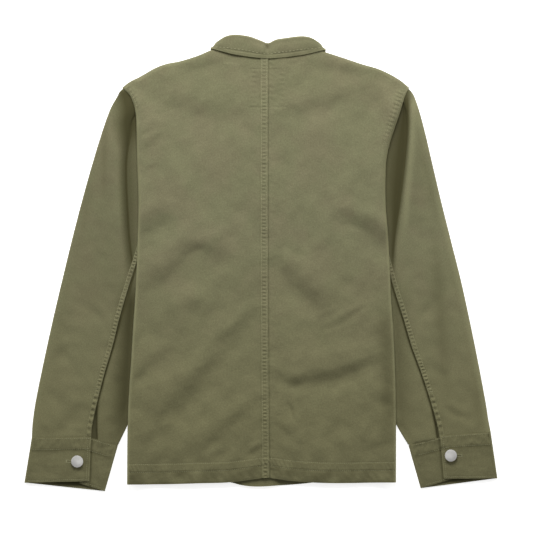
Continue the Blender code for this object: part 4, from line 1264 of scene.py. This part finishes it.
def layCuff(side):
    along = evenly(0, (0.05, 5), (1, 60), (2, 10), (3, 24), (4, 8), (5, 34))
    down = evenly(0, (0.2, 16), (1, 50))

    def tone(a, d, x, y, z):
        # rubbed pale along the lap's edges; painted shade in the mouth, along the seam, a little over the lap and tab,
        # beside the lap and in the buttonhole
        lighter = cuffWearAndShade["paled"] * (bump(1 - d, 0.018) * (a < 1) + bump(a, 0.02))
        inside = cuffWearAndShade["mouth"] * ((a > 1.9) & (a < 3.1)) * (1 - ease((d - 0.93) / 0.05))
        fromRow = d * cuffForm["depth"] - cuffForm["seamRow"]
        seam = (cuffWearAndShade["seam"] * bump(fromRow - 2, 2.4) + cuffWearAndShade["top"]) * ((a < 1) | (a > 4))
        lapEdge = between(*cuffs[side]["lap"], d)[0]
        # painted shadow beside the lap's edge
        shaded = cuffWearAndShade["underLap"] * bump((lapEdge - x) * sideSign(side) - 1.2, 1.8) * (a > 4)
        buttonX, buttonY = cuffs[side]["button"]
        fromButton = (x - buttonX) * sideSign(side)
        inHole = (fromButton > 8) & (fromButton < 16.5) & (a < 1)
        # painted shade in the buttonhole's slit
        shaded += cuffWearAndShade["hole"] * bump(y - buttonY, 1.0) * inHole
        return lighter - inside - seam - shaded

    piece = layCloth(f"cuff_{side}_cloth", along, down, partial(cuffPoint, side), cloth["doubleWall"], shadedCuffTwill,
                     flip=side == "left", tone=tone)
    finishPiece(piece, "twill", "cuff_" + side)
    return piece


def layCollar():
    def tone(a, d, x, y, z):
        # painted lighter all over, with a painted highlight along its edge and painted shade in the crease below the
        # dip
        crease = bump(x - collarForm["dip"], 3.4) * ease((y - 340) / 6)
        return 0.16 + 0.3 * ease((d - 0.88) / 0.04) - 0.5 * crease

    across = evenly(0, (0.4, 8), (0.6, 12), (0.88, 10), (1, 10))
    piece = layCloth("collar_cloth", evenly(0, (collarLast, 220)), across, collarPoint, cloth["doubleWall"], twill,
                     flip=True, offset=0.0, tone=tone)
    finishPiece(piece, "twill", "collar")
    return piece


def bandPoint(across, down):
    # the centre seam's felled band lies on the left panel
    form = centreBand
    y = mix(topLine(centreBack(centreSeam["topY"])) - 0.4, hemLine(centreBack(centreSeam["hemY"])) + 0.4, down)
    fromSeam = form["width"] * (1 - across) - form["past"]
    x = centreBack(y) - fromSeam
    height = backHeight("left", x, y) - layers["hemTurn"] * bump(np.maximum(y - hemLine(x), 0), 2.0)
    middle = (form["firstRow"] + form["secondRow"]) / 2
    return x, y, bandHeight(form, height, fromSeam, 0.55 * puckers(fromSeam - middle, y, form["pitch"], 2.7, 12.0))


def layBand():
    def tone(a, d, x, y, z):
        # rubbed pale along both of its edges
        fromSeam = centreBack(y) - x
        return 0.10 * (bump(fromSeam - 11, 1.4) + bump(fromSeam - 1, 1.4))

    across = evenly(0, (0.14, 4), (0.86, 14), (1, 5))
    piece = layCloth("centre_back_band", across, evenly(0, (1, 720)), bandPoint, cloth["band"], twill, tone=tone)
    finishPiece(piece, "twill")
    return piece


# Stitches

stitchForm = dict(pitch=3.1, length=2.3, width=0.7, height=0.5, sink=0.1, tallestStep=2, overhead=80)


def alongRoute(route, pitch):
    # even places along a line of points, with the way that it runs at each
    route = np.array(route, float)
    run = np.concatenate([[0], np.cumsum(np.linalg.norm(np.diff(route, axis=0), axis=1))])
    count = max(int(run[-1] / pitch), 1)
    at = (np.arange(count) + 0.5) * run[-1] / count
    here, before, after = (np.stack([np.interp(at + shift, run, route[:, k]) for k in (0, 1)], -1)
                           for shift in (0, -0.6, 0.6))
    way = after - before
    return here, way / np.linalg.norm(way, axis=1, keepdims=True)


def surfaceAt(piece, x, y):
    hit, place, normal, _ = piece.ray_cast((x * mm, y * mm, stitchForm["overhead"] * mm), (0, 0, -1))
    return (np.array(place) / mm, np.array(normal)) if hit else (None, None)


def rowStitches(piece, route, pitch=None, length=None, width=None, turn=0.0):
    # turn swings each stitch off the row's own way, in degrees
    here, way = alongRoute(route, pitch or stitchForm["pitch"])
    angle = math.radians(turn)
    way = way @ np.array(((math.cos(angle), math.sin(angle)), (-math.sin(angle), math.cos(angle))))
    half = (length or stitchForm["length"]) / 2
    step = stitchForm["tallestStep"]
    found = []
    for (x, y), (ux, uy) in zip(here, way):
        start, upA = surfaceAt(piece, x - ux * half, y - uy * half)
        end, upB = surfaceAt(piece, x + ux * half, y + uy * half)
        if start is not None and end is not None and abs(start[2] - end[2]) < step:
            found.append((start, end, upA + upB, width or stitchForm["width"]))
    return found


def sewStitches(name, stitches):
    # one small grain of thread, modelled once and copied to every stitch of one joined mesh
    deselectAll()
    bpy.ops.mesh.primitive_uv_sphere_add(segments=6, ring_count=4, radius=0.5)
    grain = bpy.context.object
    corners = np.array([vertex.co[:] for vertex in grain.data.vertices])[:, [2, 0, 1]]
    faces = [list(face.vertices) for face in grain.data.polygons]
    bpy.data.objects.remove(grain, do_unlink=True)
    draw = np.random.default_rng(51)
    points, loops = [], []
    for start, end, up, width in stitches:
        along = end - start
        length = np.linalg.norm(along) * draw.uniform(0.94, 1.08)
        along = along / np.linalg.norm(along)
        side = np.cross(up, along)
        side = side / np.linalg.norm(side)
        up = np.cross(along, side)
        size = (length, width * draw.uniform(0.9, 1.1), stitchForm["height"])
        centre = (start + end) / 2 + up * (stitchForm["height"] / 2 - stitchForm["sink"])
        base = len(points) * len(corners)
        points.append(centre + (corners * size) @ np.array((along, side, up)))
        loops += [[base + corner for corner in face] for face in faces]
    mesh = bpy.data.meshes.new(name)
    mesh.from_pydata((np.concatenate(points) * mm).tolist(), [], loops)
    mesh.materials.append(thread)
    mesh.shade_smooth()
    piece = bpy.data.objects.new(name, mesh)
    bpy.context.scene.collection.objects.link(piece)
    finishPiece(piece, "twill")


armholeRows = {
    # the lowest y of its stitches, and the rows in from the body's side
    "left": (250.0, (4.5,)),
    "right": (186.0, (4.5, 10.5)),
}


def backRoutes(side):
    sign, (lowest, rows) = sideSign(side), armholeRows[side]
    sideX, seamX = bodySide(side, bodySides[-1][0] + 6), centreBack(centreSeam["hemY"])
    xs = np.linspace(sideX - 3 * sign, seamX + 1.5 * sign, 90)
    ys = np.linspace(lowest, 274, 40)
    hem = [[(x, float(hemLine(x)) + hemBand[row]) for x in xs] for row in ("upper", "lower")]
    return hem + [[(float(bodySide(side, y)) - row * sign, y) for y in ys] for row in rows]


def sewBacks():
    stitches = []
    for side, piece in backs.items():
        for route in backRoutes(side):
            stitches += rowStitches(piece, route)
    ys = np.linspace(330, -340, 200)
    for row in (centreBand["firstRow"], centreBand["secondRow"]):
        stitches += rowStitches(band, [(float(centreBack(y)) - row, y) for y in ys], pitch=centreBand["pitch"] / 2)
    sewStitches("back_stitches", stitches)


def sleeveRoute(side, fromSeam, first, last):
    # a line beside the back seam, outwards of it on the top sleeve
    route = []
    for station in np.linspace(first, last, 60):
        outerX, outerY, innerX, innerY, seam = (float(v) for v in sleeveStation(side, station))
        width = math.hypot(outerX - innerX, outerY - innerY)
        reach = fromSeam / (width * seam)
        x, y, _ = sleevePoint(side, np.array(reach), np.array(station))
        route.append((float(x), float(y)))
    return route


barTack = dict(beforeEnd=(2.55, 2.45), ends=(1.2, 7.6), pitch=0.8, length=2.6)


def sewSleeves():
    stitches = []
    for side, (_, _, felled) in sleeves.items():
        last = len(sleeveRows[side]) - 1
        for row in (sleeveBand["firstRow"], sleeveBand["secondRow"]):
            stitches += rowStitches(felled, sleeveRoute(side, row, sleeveBand["first"], last - 0.1),
                                    pitch=sleeveBand["pitch"] / 2, width=0.5)
        # where the slit starts
        for station in (last - rows for rows in barTack["beforeEnd"]):
            route = [sleeveRoute(side, end, station, station + 0.01)[0] for end in barTack["ends"]]
            stitches += rowStitches(felled, route, pitch=barTack["pitch"], length=barTack["length"], turn=90)
    sewStitches("sleeve_stitches", stitches)


def routeOn(point, alongs, downs):
    # the places of a row of stitches, seen from above, at those shares of a piece
    return [tuple(float(v) for v in point(np.array(a), np.array(d))[:2]) for a, d in zip(alongs, downs)]


def sewCuffs():
    stitches = []
    shares = np.linspace(0.02, 0.99, 40)
    for side, piece in cuffPieces.items():
        point = partial(cuffPoint, side)
        for down in (0.03, cuffForm["seamRow"] / cuffForm["depth"], 0.955):
            for alongs in (shares, 4.1 + 0.9 * shares):
                stitches += rowStitches(piece, routeOn(point, alongs, 0 * shares + down))
        stitches += rowStitches(piece, routeOn(point, 0 * shares + 0.05, shares))
        stitches += buttonholeStitches(side, piece)
    sewStitches("cuff_stitches", stitches)


buttonhole = dict(start=6, reach=17.0, halfWidth=1.5, pitch=0.75, length=2.2, tilt={"left": 0.5, "right": 0.0},
                  bar=dict(past=0.6, halfWidth=2.2, pitch=0.7, length=2.4))


def buttonholeStitches(side, piece):
    # a worked buttonhole, of which the end past the button shows, closed by a bar
    form, bar = buttonhole, buttonhole["bar"]
    (x, y), outwards = cuffs[side]["button"], sideSign(side)
    startX, endX, endY = x + form["start"] * outwards, x + form["reach"] * outwards, y + form["tilt"][side]
    found = []
    for shift in (-form["halfWidth"], form["halfWidth"]):
        found += rowStitches(piece, [(startX, y + shift), (endX, endY + shift)], pitch=form["pitch"],
                             length=form["length"], turn=90)
    barX = endX + bar["past"] * outwards
    ends = [(barX, endY - bar["halfWidth"]), (barX, endY + bar["halfWidth"])]
    return found + rowStitches(piece, ends, pitch=bar["pitch"], length=bar["length"], turn=90)


def sewCollar():
    alongs = np.linspace(5.25, collarLast - 5.25, 160)
    onEdge = 1 - 0.4 * collarForm["row"] / collarForm["fallWidth"]
    route = routeOn(collarPoint, alongs, 0 * alongs + onEdge)
    sewStitches("collar_stitches", rowStitches(collar, route, pitch=collarForm["pitch"], length=3.6, width=1.4))


# Buttons

buttonForm = dict(radius=9.6, height=4.2, skirt=0.42, gap=0.3, under=0.3, lip=0.35, edge=0.4, rim=0.6, dome=0.8)


def pickFaces(piece, wanted):
    bpy.ops.object.mode_set(mode="OBJECT")
    for face in piece.data.polygons:
        face.select = wanted(face)
    bpy.ops.object.mode_set(mode="EDIT")


def makeCuffButton(side):
    # a stamped shank button: narrow rim, low plain dome, and a shank under it
    deselectAll()
    x, y = cuffs[side]["button"]
    radius, height, edge = (buttonForm[size] for size in ("radius", "height", "edge"))
    skirt = height * buttonForm["skirt"]
    middle = cuffForm["lapHeight"] + buttonForm["gap"] + height - skirt / 2 - edge
    bpy.ops.mesh.primitive_cylinder_add(vertices=40, radius=radius * mm, depth=skirt * mm, end_fill_type="NGON",
                                        location=(x * mm, y * mm, middle * mm))
    piece = bpy.context.object
    piece.name = piece.data.name = f"button_{side}_cuff"
    bpy.ops.object.transform_apply(location=True)
    bpy.ops.object.mode_set(mode="EDIT")
    bpy.ops.mesh.select_mode(type="FACE")
    pickFaces(piece, lambda face: face.normal.z > 0.9)
    bpy.ops.mesh.inset(thickness=buttonForm["lip"] * mm)
    bpy.ops.transform.translate(value=(0, 0, edge * mm))
    bpy.ops.mesh.inset(thickness=buttonForm["rim"] * mm)
    for share in (0.34, 0.28, 0.2, 0.12, 0.06):
        bpy.ops.mesh.inset(thickness=radius * 0.15 * mm)
        bpy.ops.transform.translate(value=(0, 0, buttonForm["dome"] * share * mm))
    pickFaces(piece, lambda face: face.normal.z < -0.9)
    bpy.ops.mesh.inset(thickness=radius * 0.1 * mm)
    bpy.ops.transform.translate(value=(0, 0, -0.3 * mm))
    bpy.ops.mesh.inset(thickness=radius * 0.48 * mm)
    bpy.ops.mesh.extrude_region_move(
        TRANSFORM_OT_translate={"value": (0, 0, -(height - skirt - 0.3 - edge - buttonForm["under"]) * mm)})
    bpy.ops.object.mode_set(mode="OBJECT")
    piece.data.materials.append(metal)
    applyModifier(piece, "BEVEL", width=0.22 * mm, segments=2, limit_method="ANGLE", angle_limit=math.radians(35))
    applyModifier(piece, "SUBSURF", levels=1, render_levels=1)
    piece.data.shade_smooth()
    finishPiece(piece, "button_metal", "cuff_button_" + side)


backs = {side: layBack(side) for side in sides}
band = layBand()
print("back panels")
fronts = {side: layFront(side) for side in sides}
sleeves = {side: laySleeve(side) for side in sides}
print("fronts and sleeves")
cuffPieces = {side: layCuff(side) for side in sides}
collar = layCollar()
print("cuffs and collar")
for sew in (sewBacks, sewSleeves, sewCuffs, sewCollar):
    sew()
print("stitches")
for side in sides:
    makeCuffButton(side)
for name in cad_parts:
    if name.startswith("front_button"):
        slots = bpy.data.objects[name].data.materials
        slots.clear()
        slots.append(metal)
print("buttons")
